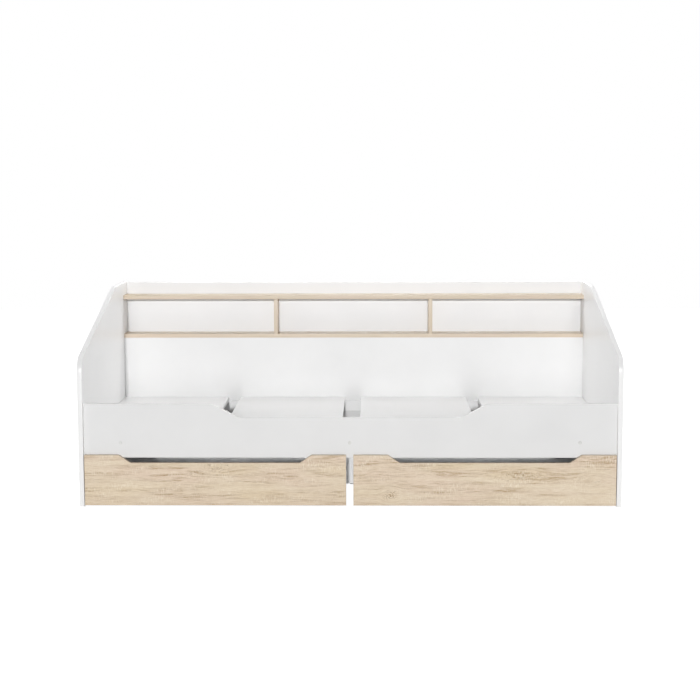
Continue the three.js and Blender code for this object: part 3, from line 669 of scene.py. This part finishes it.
def copies_tree():
    """Sets copies of a template at points. 'facing' on a point is where the template's Z goes and
    'towards' its X. Each copy is turned about Z by a random share of the turn."""
    tree = bpy.data.node_groups.new("copies_at_points", "GeometryNodeTree")
    face = tree.interface
    face.new_socket("Points", in_out="INPUT", socket_type="NodeSocketGeometry")
    for name, kind in (("Template", "Object"), ("Turn", "Float"), ("Seed", "Int"),
                       ("Material", "Material"), ("Second Material", "Material")):
        face.new_socket(name, in_out="INPUT", socket_type=f"NodeSocket{kind}")
    face.new_socket("Pieces", in_out="OUTPUT", socket_type="NodeSocketGeometry")
    given = add(tree, "NodeGroupInput").outputs
    facing = add(tree, "GeometryNodeInputNamedAttribute", {"Name": "facing"}, data_type="FLOAT_VECTOR")
    towards = add(tree, "GeometryNodeInputNamedAttribute", {"Name": "towards"}, data_type="FLOAT_VECTOR")
    upright = add(tree, "FunctionNodeAlignRotationToVector", {"Vector": facing.outputs[0]}, axis="Z")
    aimed = add(tree, "FunctionNodeAlignRotationToVector",
                {"Rotation": upright.outputs[0], "Vector": towards.outputs[0]}, axis="X", pivot_axis="Z")
    against = add(tree, "ShaderNodeMath", {0: given["Turn"], 1: -1.0}, operation="MULTIPLY")
    chance = add(tree, "FunctionNodeRandomValue", data_type="FLOAT")
    for name, socket in (("Min", against.outputs[0]), ("Max", given["Turn"])):
        open_sockets = [s for s in chance.inputs if s.name == name and s.type == "VALUE"]
        tree.links.new(socket, open_sockets[0])
    tree.links.new(given["Seed"], chance.inputs["Seed"])
    turn = [s for s in chance.outputs if s.type == "VALUE"][0]
    about = add(tree, "FunctionNodeAxisAngleToRotation", {"Axis": (0, 0, 1), "Angle": turn})
    final = add(tree, "FunctionNodeRotateRotation",
                {"Rotation": aimed.outputs[0], "Rotate By": about.outputs[0]}, rotation_space="LOCAL")
    template = add(tree, "GeometryNodeObjectInfo", {"Object": given["Template"]})
    copies = add(tree, "GeometryNodeInstanceOnPoints", {
        "Points": given["Points"], "Instance": template.outputs["Geometry"], "Rotation": final.outputs[0]})
    real = add(tree, "GeometryNodeRealizeInstances", {"Geometry": copies.outputs[0]})
    which = add(tree, "GeometryNodeInputMaterialIndex")
    second = add(tree, "FunctionNodeCompare", data_type="INT", operation="GREATER_THAN")
    tree.links.new(which.outputs[0], [s for s in second.inputs if s.name == "A" and s.type == "INT"][0])
    kept = add(tree, "GeometryNodeStoreNamedAttribute", {
        "Geometry": real.outputs[0], "Name": "second_finish", "Value": second.outputs[0],
    }, data_type="BOOLEAN", domain="FACE")
    marked = add(tree, "GeometryNodeInputNamedAttribute", {"Name": "second_finish"}, data_type="BOOLEAN")
    first = add(tree, "GeometryNodeSetMaterial", {
        "Geometry": kept.outputs[0], "Material": given["Material"]})
    done = add(tree, "GeometryNodeSetMaterial", {
        "Geometry": first.outputs[0], "Selection": marked.outputs[0], "Material": given["Second Material"]})
    add(tree, "NodeGroupOutput", {"Pieces": done.outputs[0]})
    return tree


COPIES = copies_tree()


def put(piece, body, slot, *nodes):
    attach(piece, body)
    if nodes:
        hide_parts(*nodes)


def copies(name, template, places, materials, body, slot, nodes=(), turn=0.0, seed=1):
    """A piece on a body that is a plain mesh of copies of a template at (point, facing, towards)."""
    mesh = bpy.data.meshes.new(name)
    mesh.from_pydata([at for at, facing, towards in places], [], [])
    for column, attribute in ((1, "facing"), (2, "towards")):
        values = mesh.attributes.new(attribute, "FLOAT_VECTOR", "POINT")
        values.data.foreach_set("vector", [c for place in places for c in place[column]])
    piece = bpy.data.objects.new(name, mesh)
    bpy.context.scene.collection.objects.link(piece)
    modifier = piece.modifiers.new("copies", "NODES")
    modifier.node_group = COPIES
    values = {"Template": template, "Turn": turn, "Seed": seed,
              "Material": materials[0], "Second Material": materials[-1]}
    for item in COPIES.interface.items_tree:
        if item.in_out == "INPUT" and item.name in values:
            modifier[item.identifier] = values[item.name]
    apply_modifiers(piece)
    for attribute in ("facing", "towards", "second_finish"):
        found = piece.data.attributes.get(attribute)
        if found:
            piece.data.attributes.remove(found)
    put(piece, body, slot, *nodes)


# Templates of the fittings, each with its face at Z 0 looking up

def head_template(name, profile, cross, material, mark=None):
    head = turned(name, profile, [material])
    cut(head, [cross_cutter(*cross, material)])
    if mark:
        join_up(head, mark)
    smooth_sides(head)
    return head


def cam_template():
    """A cast cam: a disc with a broken edge, a driver cross and a raised arrow to the bolt."""
    inner = CAM_RADIUS - CAM_CHAMFER
    profile = [(0, -CAM_POCKET), (CAM_RADIUS, -CAM_POCKET), (CAM_RADIUS, -CAM_CHAMFER),
               (inner, 0), (0, 0)]
    wedge = [(0, -OVERRUN), (CAM_ARROW_RADIUS, -OVERRUN), (CAM_ARROW_RADIUS, CAM_ARROW_HEIGHT),
             (0, CAM_ARROW_HEIGHT)]
    arrow = turned("cam_arrow", wedge, [cast_zinc], 3)
    arrow.data.transform(Matrix.Translation((CAM_CROSS / 2 + CAM_ARROW_RADIUS / 2, 0, 0)))
    cross = (CAM_CROSS, CAM_CROSS_WIDTH, CAM_CROSS_DEPTH)
    return head_template("cam_template", profile, cross, cast_zinc, arrow)


def screw_template(name, share):
    """A countersunk head with a driver cross, and the start of its shank."""
    head, shank, height = (share * v for v in (SCREW_HEAD_RADIUS, SCREW_SHANK_RADIUS, SCREW_HEAD_HEIGHT))
    rim = SCREW_RIM_SHARE * head
    profile = [(0, -height - shank), (shank, -height - shank), (shank, -height), (head, -rim),
               (head - rim, 0), (0, 0)]
    cross = (share * SCREW_CROSS, share * SCREW_CROSS_WIDTH, share * SCREW_CROSS_DEPTH)
    return head_template(name, profile, cross, plated_steel)


cam = cam_template()
board_screw = screw_template("board_screw", 1.0)
castor_screw = screw_template("castor_screw", CASTOR_SCREW_SHARE)


def cam_holes(places):
    radius = CAM_RADIUS + HOLE_PLAY
    return [(at, facing, radius, radius, CAM_POCKET + CAM_SUNK) for at, facing, towards in places]


def screw_holes(places, share=1.0, depth=SCREW_HEAD_HEIGHT + HOLE_PLAY):
    """Countersunk holes for board screws, or for screws that are a share of their size."""
    wide, narrow = share * SCREW_HEAD_RADIUS + HOLE_PLAY, share * SCREW_SHANK_RADIUS + HOLE_PLAY
    return [(at, facing, wide, narrow, depth) for at, facing, towards in places]


def sunk(places, depth):
    return [(at - facing * depth, facing, towards) for at, facing, towards in places]


def sunk_cams(name, body, places, seed):
    copies(name, cam, sunk(places, CAM_SUNK), [cast_zinc], body, "zinc_plate", turn=CAM_TURN, seed=seed)


def sunk_screws(name, body, template, places, seed):
    copies(name, template, sunk(places, SCREW_SUNK), [plated_steel], body, "zinc_plate",
           turn=SCREW_TURN, seed=seed)


def end_cams(low, high, facing, spots):
    """Cams at both ends of a cross board, at the given (y, z) spots."""
    places = []
    for x, towards in ((low.x + CAM_SETBACK, -X), (high.x - CAM_SETBACK, X)):
        places += [(Vector((x, y, z)), facing, towards) for y, z in spots]
    return places


# The fixed boards

def finish_board(piece, body, node):
    """Shades a board and sets it on its body, in the place of its node."""
    smooth_sides(piece, (PAPER, GLUE))
    white = piece.data.materials[BAND] == white_band
    put(piece, body, "white_melamine" if white else "oak_decor", node)


def plain_board(name, body, node, plane, finish, cams=(), screws=(), grooves=(), rounding=INNER_ROUND):
    """A rectangular board in the place of a node, grooved and drilled for what is sunk in it."""
    low, high = bare_board(node)
    u, v, w = (list(plane(0, 1, 2)).index(k) for k in (0, 1, 2))
    outline = rectangle((low[u], low[v]), (high[u], high[v]))
    board = make_board(name, outline, plane, low[w], high[w], finish, rounding)
    holes = cam_holes(cams) + screw_holes(screws)
    cutters = [*grooves, hole_cutter(holes)] if holes else list(grooves)
    if cutters:
        cut(board, cutters)
    finish_board(board, body, node)


def side_panels():
    for side in ("left", "right"):
        node = f"side_panel_{side}"
        low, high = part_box(node)
        outline = rounded([
            (low.y, low.z, 0),
            (high.y, low.z, 0),
            (high.y, high.z, 0),
            (high.y - LEVEL_TOP_DEPTH, high.z, TOP_BEND_RADIUS),
            (low.y, high.z - SLOPE_RISE, FRONT_CORNER_RADIUS),
        ])
        panel = make_board(f"{side}_side_panel", outline, upright_side, low.x, high.x, WHITE_BOARD,
                           SHOWN_ROUND)
        finish_board(panel, "bed_frame", node)


def front_rail(cams):
    low, high = bare_board("front_rail")
    scoop_end = SCOOP_HALF_WIDTH + SCOOP_RUN
    floor = high.z - SCOOP_DROP
    outline = rounded([
        (low.x, low.z, 0),
        (high.x, low.z, 0),
        (high.x, high.z, 0),
        (scoop_end, high.z, SCOOP_RADIUS),
        (SCOOP_HALF_WIDTH, floor, SCOOP_RADIUS),
        (-SCOOP_HALF_WIDTH, floor, SCOOP_RADIUS),
        (-scoop_end, high.z, SCOOP_RADIUS),
        (low.x, high.z, 0),
    ])
    rail = make_board("scooped_rail", outline, upright_front, low.y, high.y, PANEL_SHADE_BOARD, SHOWN_ROUND)
    base_top = bare_board("base_board_1")[1].z
    spots = [(high.y, high.z - RAIL_CAM_INSET), (high.y, base_top + RAIL_CAM_LIFT)]
    places = end_cams(low, high, Y, spots)
    cams += places
    cut(rail, [hole_cutter(cam_holes(places))])
    finish_board(rail, "bed_frame", "front_rail")


def fixed_boards():
    cams, screws = [], []
    side_panels()
    front_rail(cams)
    plain_board("leg_before_beam", "bed_frame", "centre_leg", upright_front, WHITE_BOARD)

    low, high = bare_board("back_panel_lower")
    places = end_cams(low, high, Y, [(high.y, high.z - BACK_CAM_INSET), (high.y, low.z + BACK_CAM_LIFT)])
    cams += places
    plain_board("lower_back_board", "bed_frame", "back_panel_lower", upright_front, PANEL_SHADE_BOARD, places)

    low, high = bare_board("mid_beam")
    tall = high.z - low.z
    places = end_cams(low, high, Y, [(high.y, low.z + BEAM_CAM_SHARE * tall)])
    leg_screws = [(Vector((0, high.y, low.z + share * tall)), Y, X) for share in LEG_SCREW_SHARES]
    cams += places
    screws += leg_screws
    plain_board("beam_across", "bed_frame", "mid_beam", upright_front, WHITE_BOARD, places, leg_screws)

    low, high = bare_board("back_panel_upper")
    places = []
    for shelf in ("lower_shelf", "top_shelf"):
        shelf_low, shelf_high = bare_board(shelf)
        middle = (shelf_low.z + shelf_high.z) / 2
        for x in (low.x + BACK_SCREW_INSET, 0, high.x - BACK_SCREW_INSET):
            places.append((Vector((x, high.y, middle)), Y, X))
    for divider in ("shelf_divider_left", "shelf_divider_right"):
        middle = sum(bare_board(divider), Vector()) / 2
        places.append((Vector((middle.x, high.y, middle.z)), Y, X))
    screws += places
    plain_board("upper_back_board", "bed_frame", "back_panel_upper", upright_front, NICHE_SHADE_BOARD, (), places)

    for node, name in (("lower_shelf", "seat_side_shelf"), ("top_shelf", "cover_shelf")):
        low, high = bare_board(node)
        places = end_cams(low, high, -Z, [(low.y + SHELF_CAM_SHARE * (high.y - low.y), low.z)])
        cams += places
        plain_board(name, "bed_frame", node, lying, SHELF_BOARD, places)
    for side in ("left", "right"):
        plain_board(f"{side}_divider", "bed_frame", f"shelf_divider_{side}", upright_side, DIVIDER_BOARD)

    plain_board("ledger_behind_rail", "bed_frame", "front_ledger", upright_front, WHITE_BOARD)
    low, high = bare_board("rear_ledger")
    middle = (low.z + high.z) / 2
    spots = (low.x + LEDGER_SCREW_INSET, -LEDGER_INNER_SCREW_X, LEDGER_INNER_SCREW_X,
             high.x - LEDGER_SCREW_INSET)
    places = [(Vector((x, low.y, middle)), -Y, X) for x in spots]
    screws += places
    plain_board("ledger_on_back", "bed_frame", "rear_ledger", upright_front, WHITE_BOARD, (), places)

    nodes = [f"base_board_{number}" for number in (1, 2, 3, 4)]
    low, high = bare_board(nodes[0])
    half = (high - low) / 2
    template = make_board("mattress_board", rectangle(-half, half), lying, -half.z, half.z,
                          (white_paper, white_band))
    for polygon in template.data.polygons:
        polygon.material_index = min(polygon.material_index, BAND)
    smooth_sides(template, (PAPER,))
    places = [(sum(bare_board(node), Vector()) / 2, Z, X) for node in nodes]
    copies("mattress_boards", template, places, [white_paper, white_band], "bed_frame",
           "white_melamine", nodes)
    discard(template)

    sunk_cams("frame_cams", "bed_frame", cams, seed=3)
    sunk_screws("frame_screws", "bed_frame", board_screw, screws, seed=5)


# Caps and glides

def cover_caps():
    """Push-on covers: a thin lip on the board, a crowned face and a shallow dimple."""
    face = CAP_RADIUS - CAP_LIP
    profile = [(0, 0), (CAP_RADIUS, 0), (CAP_RADIUS, CAP_LIP / 2), (CAP_RADIUS - CAP_LIP / 2, CAP_LIP)]
    for sine, cosine in quarter(6):
        radius = face * (1 - CAP_CROWN_SHARE * (1 - cosine)) - CAP_DRAFT_SHARE * face * sine
        profile.append((radius, CAP_LIP + (CAP_HEIGHT - CAP_LIP) * sine))
    profile += [(CAP_DIMPLE_SHARE * face, CAP_DIMPLE_RIM_SHARE * CAP_HEIGHT),
                (0, CAP_DIMPLE_FLOOR_SHARE * CAP_HEIGHT)]
    template = turned("cap_template", profile, [shaded_cap_moulding])
    smooth_sides(template)
    low, high = bare_board("front_rail")
    height = bare_board("front_ledger")[1].z - CAP_BELOW_BASE
    spots = (low.x + CAP_END_INSET, 0, high.x - CAP_END_INSET)
    places = [(Vector((x, low.y, height)), -Y, X) for x in spots]
    nodes = [f"rail_cap_screw_{n}" for n in (1, 2, 3)]
    copies("screw_covers", template, places, [shaded_cap_moulding], "bed_frame", "white_plastic", nodes)
    discard(template)


def floor_glides():
    """Nailed plastic discs with a rounded foot."""
    profile = [(0, 0), (GLIDE_RADIUS - GLIDE_ROUND, 0)]
    for sine, cosine in quarter(4)[1:]:
        profile.append((GLIDE_RADIUS - GLIDE_ROUND * (1 - sine), GLIDE_ROUND * (1 - cosine)))
    profile += [(GLIDE_RADIUS, GLIDE_HEIGHT), (0, GLIDE_HEIGHT)]
    template = turned("glide_template", profile, [black_nylon])
    smooth_sides(template)
    nodes = [f"floor_glide_{n}" for n in range(1, 6)]
    places = []
    for node in nodes:
        low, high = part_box(node)
        places.append((Vector(((low.x + high.x) / 2, (low.y + high.y) / 2, low.z)), Z, X))
    copies("glides", template, places, [black_nylon], "bed_frame", "black_plastic", nodes)
    discard(template)


# Castors

def castor_housing_template(axle_drop):
    """A moulded plate with rounded corners, two tapered ears with a boss round the axle, and its
    screw holes. Z 0 is the top of the plate."""
    half_width, half_length = PLATE_WIDTH / 2, PLATE_LENGTH / 2
    bm = bmesh.new()
    plate = rectangle((-half_width, -half_length), (half_width, half_length))
    extrude(bm, rounded([(x, y, PLATE_CORNER) for x, y in plate]), lying, -PLATE_THICKNESS, 0)
    round_edges(bm, MOULD_ROUND, 2)
    housing = object_from(bm, "housing_template", [black_nylon])
    tip = axle_drop + EAR_TIP_RADIUS
    ear_outline = rounded([
        (-EAR_HALF_WIDTH, -PLATE_THICKNESS / 2, 0),
        (-EAR_TIP_RADIUS, -tip, EAR_TIP_ROUND),
        (EAR_TIP_RADIUS, -tip, EAR_TIP_ROUND),
        (EAR_HALF_WIDTH, -PLATE_THICKNESS / 2, 0),
    ])
    inner = WHEEL_WIDTH / 2 + EAR_GAP
    for start in (inner, -inner - EAR_THICKNESS):
        bm = bmesh.new()
        extrude(bm, ear_outline, upright_side, start, start + EAR_THICKNESS)
        round_edges(bm, MOULD_ROUND, 2)
        join_up(housing, object_from(bm, "castor_ear", [black_nylon]))
    hole_y = half_length - PLATE_SCREW_INSET
    places = [(Vector((0, side * hole_y, -PLATE_THICKNESS)), -Z, X) for side in (-1, 1)]
    holes = screw_holes(places, CASTOR_SCREW_SHARE, PLATE_THICKNESS + OVERRUN)
    reach = inner + EAR_THICKNESS
    mouth = Vector((reach, 0, -axle_drop))
    holes.append((mouth, X, AXLE_BORE_RADIUS, AXLE_BORE_RADIUS, 2 * reach + OVERRUN))
    cutter = hole_cutter(holes)
    cutter.data.materials[0] = black_nylon
    cut(housing, [cutter])
    smooth_sides(housing)
    return housing, places


def axle_template():
    """A rivet along Z: a shank with two domed heads."""
    reach = WHEEL_WIDTH / 2 + EAR_GAP + EAR_THICKNESS
    start = reach + CLEARANCE
    half = [(AXLE_RADIUS, start), (AXLE_HEAD_RADIUS, start)]
    for sine, cosine in quarter(4)[1:-1]:
        half.append((AXLE_HEAD_RADIUS * cosine, start + AXLE_HEAD_HEIGHT * sine))
    half.append((0, start + AXLE_HEAD_HEIGHT))
    profile = [(r, -z) for r, z in reversed(half)] + half
    axle = turned("axle_template", profile, [plated_steel])
    smooth_sides(axle)
    return axle


def wheel_template(radius):
    """A wheel that turns about Z: a nylon body with hub, ribbed web and rim, and a rubber tread."""
    half, web = WHEEL_WIDTH / 2, WHEEL_WEB / 2
    rim, tread = radius - WHEEL_RIM, radius - TREAD_THICKNESS
    lower = [(tread, -half), (rim, -half), (rim, -web), (WHEEL_HUB_RADIUS, -web),
             (WHEEL_HUB_RADIUS, -half), (AXLE_BORE_RADIUS, -half)]
    body_profile = lower + [(r, -z) for r, z in reversed(lower)]
    bm = bmesh.new()
    lathe(bm, body_profile + body_profile[:1])
    bmesh.ops.remove_doubles(bm, verts=bm.verts, dist=MERGE_DISTANCE)
    bmesh.ops.recalc_face_normals(bm, faces=bm.faces)
    wheel = object_from(bm, "wheel_template", [grey_nylon, tread_rubber])
    bm = bmesh.new()
    rib_reach, rib_half = half - WHEEL_ROUND, WHEEL_RIB_THICKNESS / 2
    for k in range(WHEEL_RIBS):
        turn = Matrix.Rotation(2 * math.pi * k / WHEEL_RIBS, 4, "Z")
        start = len(bm.verts)
        rib = rectangle((WHEEL_HUB_RADIUS - rib_half, -rib_half), (rim + rib_half, rib_half))
        extrude(bm, rib, lying, -rib_reach, rib_reach)
        bm.verts.ensure_lookup_table()
        bmesh.ops.transform(bm, matrix=turn, verts=bm.verts[start:])
    join_up(wheel, object_from(bm, "wheel_ribs", [grey_nylon]))
    bm = bmesh.new()
    profile = [(tread, -half), (tread, half)]
    arc = [(radius - WHEEL_ROUND * (1 - sine), half - WHEEL_ROUND * (1 - cosine))
           for sine, cosine in quarter(3)]
    profile += arc + [(r, -z) for r, z in reversed(arc)]
    lathe(bm, profile + profile[:1], index=1)
    bmesh.ops.remove_doubles(bm, verts=bm.verts, dist=MERGE_DISTANCE)
    bmesh.ops.recalc_face_normals(bm, faces=bm.faces)
    bm.from_mesh(wheel.data)
    bm.to_mesh(wheel.data)
    bm.free()
    smooth_sides(wheel)
    return wheel


def castors(side, templates):
    housing, plate_screws, axle, wheel = templates
    body = f"{side}_drawer"
    tops, axles, screws = [], [], []
    for number in (1, 2, 3, 4):
        low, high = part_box(f"{side}_castor_housing_{number}")
        top = Vector(((low.x + high.x) / 2, (low.y + high.y) / 2, high.z))
        tops.append((top, Z, X))
        screws += [(top + at, facing, towards) for at, facing, towards in plate_screws]
        low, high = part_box(f"{side}_castor_wheel_{number}")
        centre = (low + high) / 2
        axles.append((centre, X, Z))
        one = f"{side}_wheel_{number}"
        copies(one, wheel, [(centre, X, Z)], [grey_nylon, tread_rubber], one, "grey_tread",
               [f"{side}_castor_wheel_{number}"])
    for part, template, places, material, slot in (
            ("housing", housing, tops, black_nylon, "black_plastic"),
            ("axle", axle, axles, plated_steel, "zinc_plate")):
        nodes = [f"{side}_castor_{part}_{n}" for n in (1, 2, 3, 4)]
        copies(f"{side}_castor_{part}s", template, places, [material], body, slot, nodes)
    sunk_screws(f"{side}_castor_screws", body, castor_screw, screws, seed=7)


# Drawers

def drawer(side, finish, templates):
    body = f"{side}_drawer"
    low, high = bare_board(f"{side}_drawer_front")
    middle = (low.x + high.x) / 2
    grip = (high.x - low.x) / 2 - GRIP_END_INSET
    floor = high.z - GRIP_DROP
    outline = rounded([
        (low.x, low.z, 0),
        (high.x, low.z, 0),
        (high.x, high.z, 0),
        (middle + grip, high.z, GRIP_RADIUS),
        (middle + grip - GRIP_SLOPE_RUN, floor, GRIP_RADIUS),
        (middle - grip + GRIP_SLOPE_RUN, floor, GRIP_RADIUS),
        (middle - grip, high.z, GRIP_RADIUS),
        (low.x, high.z, 0),
    ])
    front = make_board(f"{side}_front", outline, upright_front, low.y, high.y, finish, SHOWN_ROUND)

    # The bottom slides in a groove of all four boards round it
    bottom_low, bottom_high = bare_board(f"{side}_drawer_bottom")
    play = Vector((CLEARANCE, CLEARANCE, 0))
    groove_low, groove_high = bottom_low - play, bottom_high + play + Z * CLEARANCE

    def groove():
        return box_cutter("groove", groove_low, groove_high, core)

    cut(front, [groove()])
    finish_board(front, body, f"{side}_drawer_front")
    back_low, back_high = bare_board(f"{side}_drawer_back")
    cams, screws = [], []
    for hand, inward in (("left", X), ("right", -X)):
        node = f"{side}_drawer_{hand}_side"
        low, high = bare_board(node)
        inner, outer = (high.x, low.x) if hand == "left" else (low.x, high.x)
        cam_height = low.z + DRAWER_CAM_SHARE * (high.z - low.z)
        cam_place = (Vector((inner, low.y + CAM_SETBACK, cam_height)), inward, -Y)
        corner_y = (back_low.y + back_high.y) / 2
        corner_screws = [(Vector((outer, corner_y, z)), -inward, Y)
                         for z in (high.z - CORNER_SCREW_INSET, bottom_high.z + CORNER_SCREW_INSET)]
        cams.append(cam_place)
        screws += corner_screws
        plain_board(f"{side}_{hand}_wall", body, node, upright_side, WHITE_BOARD, [cam_place],
                    corner_screws, [groove()])
    plain_board(f"{side}_back_wall", body, f"{side}_drawer_back", upright_front, WHITE_BOARD,
                grooves=[groove()])
    plain_board(f"{side}_bottom", body, f"{side}_drawer_bottom", lying, WHITE_BOARD, rounding=CLEARANCE)
    sunk_cams(f"{side}_drawer_cams", body, cams, seed=11)
    sunk_screws(f"{side}_drawer_screws", body, board_screw, screws, seed=13)
    castors(side, templates)


fixed_boards()
cover_caps()
floor_glides()
plate_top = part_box("left_castor_housing_1")[1].z
wheel_low, wheel_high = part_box("left_castor_wheel_1")
housing, plate_screws = castor_housing_template(plate_top - ((wheel_low + wheel_high) / 2).z)
axle, wheel = axle_template(), wheel_template((wheel_high.z - wheel_low.z) / 2)
castor_templates = (housing, plate_screws, axle, wheel)
drawer("left", LEFT_FRONT_BOARD, castor_templates)
drawer("right", RIGHT_FRONT_BOARD, castor_templates)
discard(cam, board_screw, castor_screw, housing, axle, wheel)


# Studio

def seen_rays(tree):
    """1 for what the camera, clear reflections and glass see, 0 for the light that falls on things."""
    rays = add(tree, "ShaderNodeLightPath").outputs
    seen = rays["Is Camera Ray"]
    for ray in ("Is Glossy Ray", "Is Transmission Ray"):
        seen = add(tree, "ShaderNodeMath", {0: seen, 1: rays[ray]}, operation="MAXIMUM")
    return seen


def studio_floor():
    """Pale floor. The camera and clear reflections see it lifted to white, and it keeps the
    object's shadow."""
    material, tree, place = begin("pale_studio_floor")
    mottle = grain(tree, place, FLOOR_MOTTLE, 2)
    colour = layer(tree, paint("#D8D8D7"), "#DBDBDA", mottle, 0.3, 0.7)
    shader = add(tree, "ShaderNodeBsdfPrincipled", {"Base Color": colour, "Roughness": 0.9})
    strength = add(tree, "ShaderNodeMath", {0: seen_rays(tree), 1: FLOOR_LIFT}, operation="MULTIPLY")
    glow = add(tree, "ShaderNodeEmission", {"Strength": strength})
    both = add(tree, "ShaderNodeAddShader", {0: shader, 1: glow})
    add(tree, "ShaderNodeOutputMaterial", {"Surface": both})
    bm = bmesh.new()
    bmesh.ops.create_grid(bm, x_segments=1, y_segments=1, size=FLOOR_SIZE / 2)
    floor = object_from(bm, "studio_floor", [material])


def hang(name, lamp, aim):
    lit = bpy.data.objects.new(name, lamp)
    lit.rotation_euler = aim.to_track_quat("-Z", "Y").to_euler()
    bpy.context.scene.collection.objects.link(lit)
    return lit


def far_lamp(name, direction, spread, strength):
    """A lamp so far off that its rays run side by side. Its spread softens the rims of shadows."""
    lamp = bpy.data.lights.new(name, "SUN")
    lamp.energy = strength
    lamp.angle = spread
    hang(name, lamp, Vector(direction))


def softbox(name, size, place, target, power):
    lamp = bpy.data.lights.new(name, "AREA")
    lamp.shape = "RECTANGLE"
    lamp.size, lamp.size_y = size
    lamp.energy = power
    hang(name, lamp, Vector(target) - Vector(place)).location = place


def studio_world():
    world = bpy.data.worlds.new("white_studio")
    bpy.context.scene.world = world
    world.use_nodes = True
    tree = world.node_tree
    tree.nodes.clear()
    strength = add(tree, "ShaderNodeMapRange", limits(seen_rays(tree), 0.0, 1.0, WORLD_LIGHT))
    background = add(tree, "ShaderNodeBackground", {"Color": (1, 1, 1, 1), "Strength": strength})
    add(tree, "ShaderNodeOutputWorld", {"Surface": background})


def camera():
    """The photograph's view, from a fit to the edges of the boards in a frame of 700 by 700."""
    lens = bpy.data.cameras.new("camera")
    lens.sensor_width = SENSOR_WIDTH
    lens.lens = FOCAL_PIXELS / FRAME_PIXELS * SENSOR_WIDTH
    eye = bpy.data.objects.new("camera", lens)
    flat = math.cos(VIEW_PITCH)
    forward = Vector((math.sin(VIEW_YAW) * flat, math.cos(VIEW_YAW) * flat, -math.sin(VIEW_PITCH)))
    level = forward.cross(Z).normalized()
    upward = level.cross(forward)
    right = level * math.cos(VIEW_ROLL) + upward * math.sin(VIEW_ROLL)
    turn = Matrix((right, right.cross(forward), -forward)).transposed()
    eye.matrix_world = Matrix.Translation(EYE) @ turn.to_4x4()
    bpy.context.scene.collection.objects.link(eye)
    bpy.context.scene.camera = eye


FLOOR_SIZE = 14.0
FLOOR_MOTTLE = 0.33
FLOOR_LIFT = 0.88
WORLD_LIGHT = 0.07
FRAME_PIXELS = 700
FOCAL_PIXELS = 1519.2
SENSOR_WIDTH = 36.0
EYE = Vector((0.0891, -5.8802, 1.2241))
VIEW_YAW = math.radians(-0.93)
VIEW_PITCH = math.radians(6.94)
VIEW_ROLL = math.radians(-0.146)

# The key is small and far, almost straight in front of the bed: it reaches under the shelves and
# between the boards, and the boards throw it on to the back panel. The low fill softens the shadows of
# the rail and the shelves. Each has its direction, spread and strength.
FAR_LAMPS = {
    "far_front_key": ((0.008, 1.0, -0.18), math.radians(1.2), 1.57),
    "low_front_fill": ((0.0, 1.0, -0.1), math.radians(12), 0.55),
}
# The softboxes lift the side panels, the base and the back. Each has its size, place, target and power.
SOFTBOXES = {
    "left_softbox": ((2.8, 2.8), (-7.0, 0.9, 3.0), (0, 0.3, 0.4), 236),
    "right_softbox": ((2.8, 2.8), (7.0, 0.9, 3.0), (0, 0.3, 0.4), 236),
    "overhead_softbox": ((3.6, 1.2), (0.0, 0.9, 3.2), (0, 0.1, 0), 31),
    "back_softbox": ((3.0, 1.6), (0.0, 4.6, 1.6), (0, 0.5, 0.4), 60),
}

studio_floor()
studio_world()
for lamp_name, lamp_values in FAR_LAMPS.items():
    far_lamp(lamp_name, *lamp_values)
for lamp_name, lamp_values in SOFTBOXES.items():
    softbox(lamp_name, *lamp_values)
camera()
bpy.context.scene.view_settings.view_transform = "Standard"
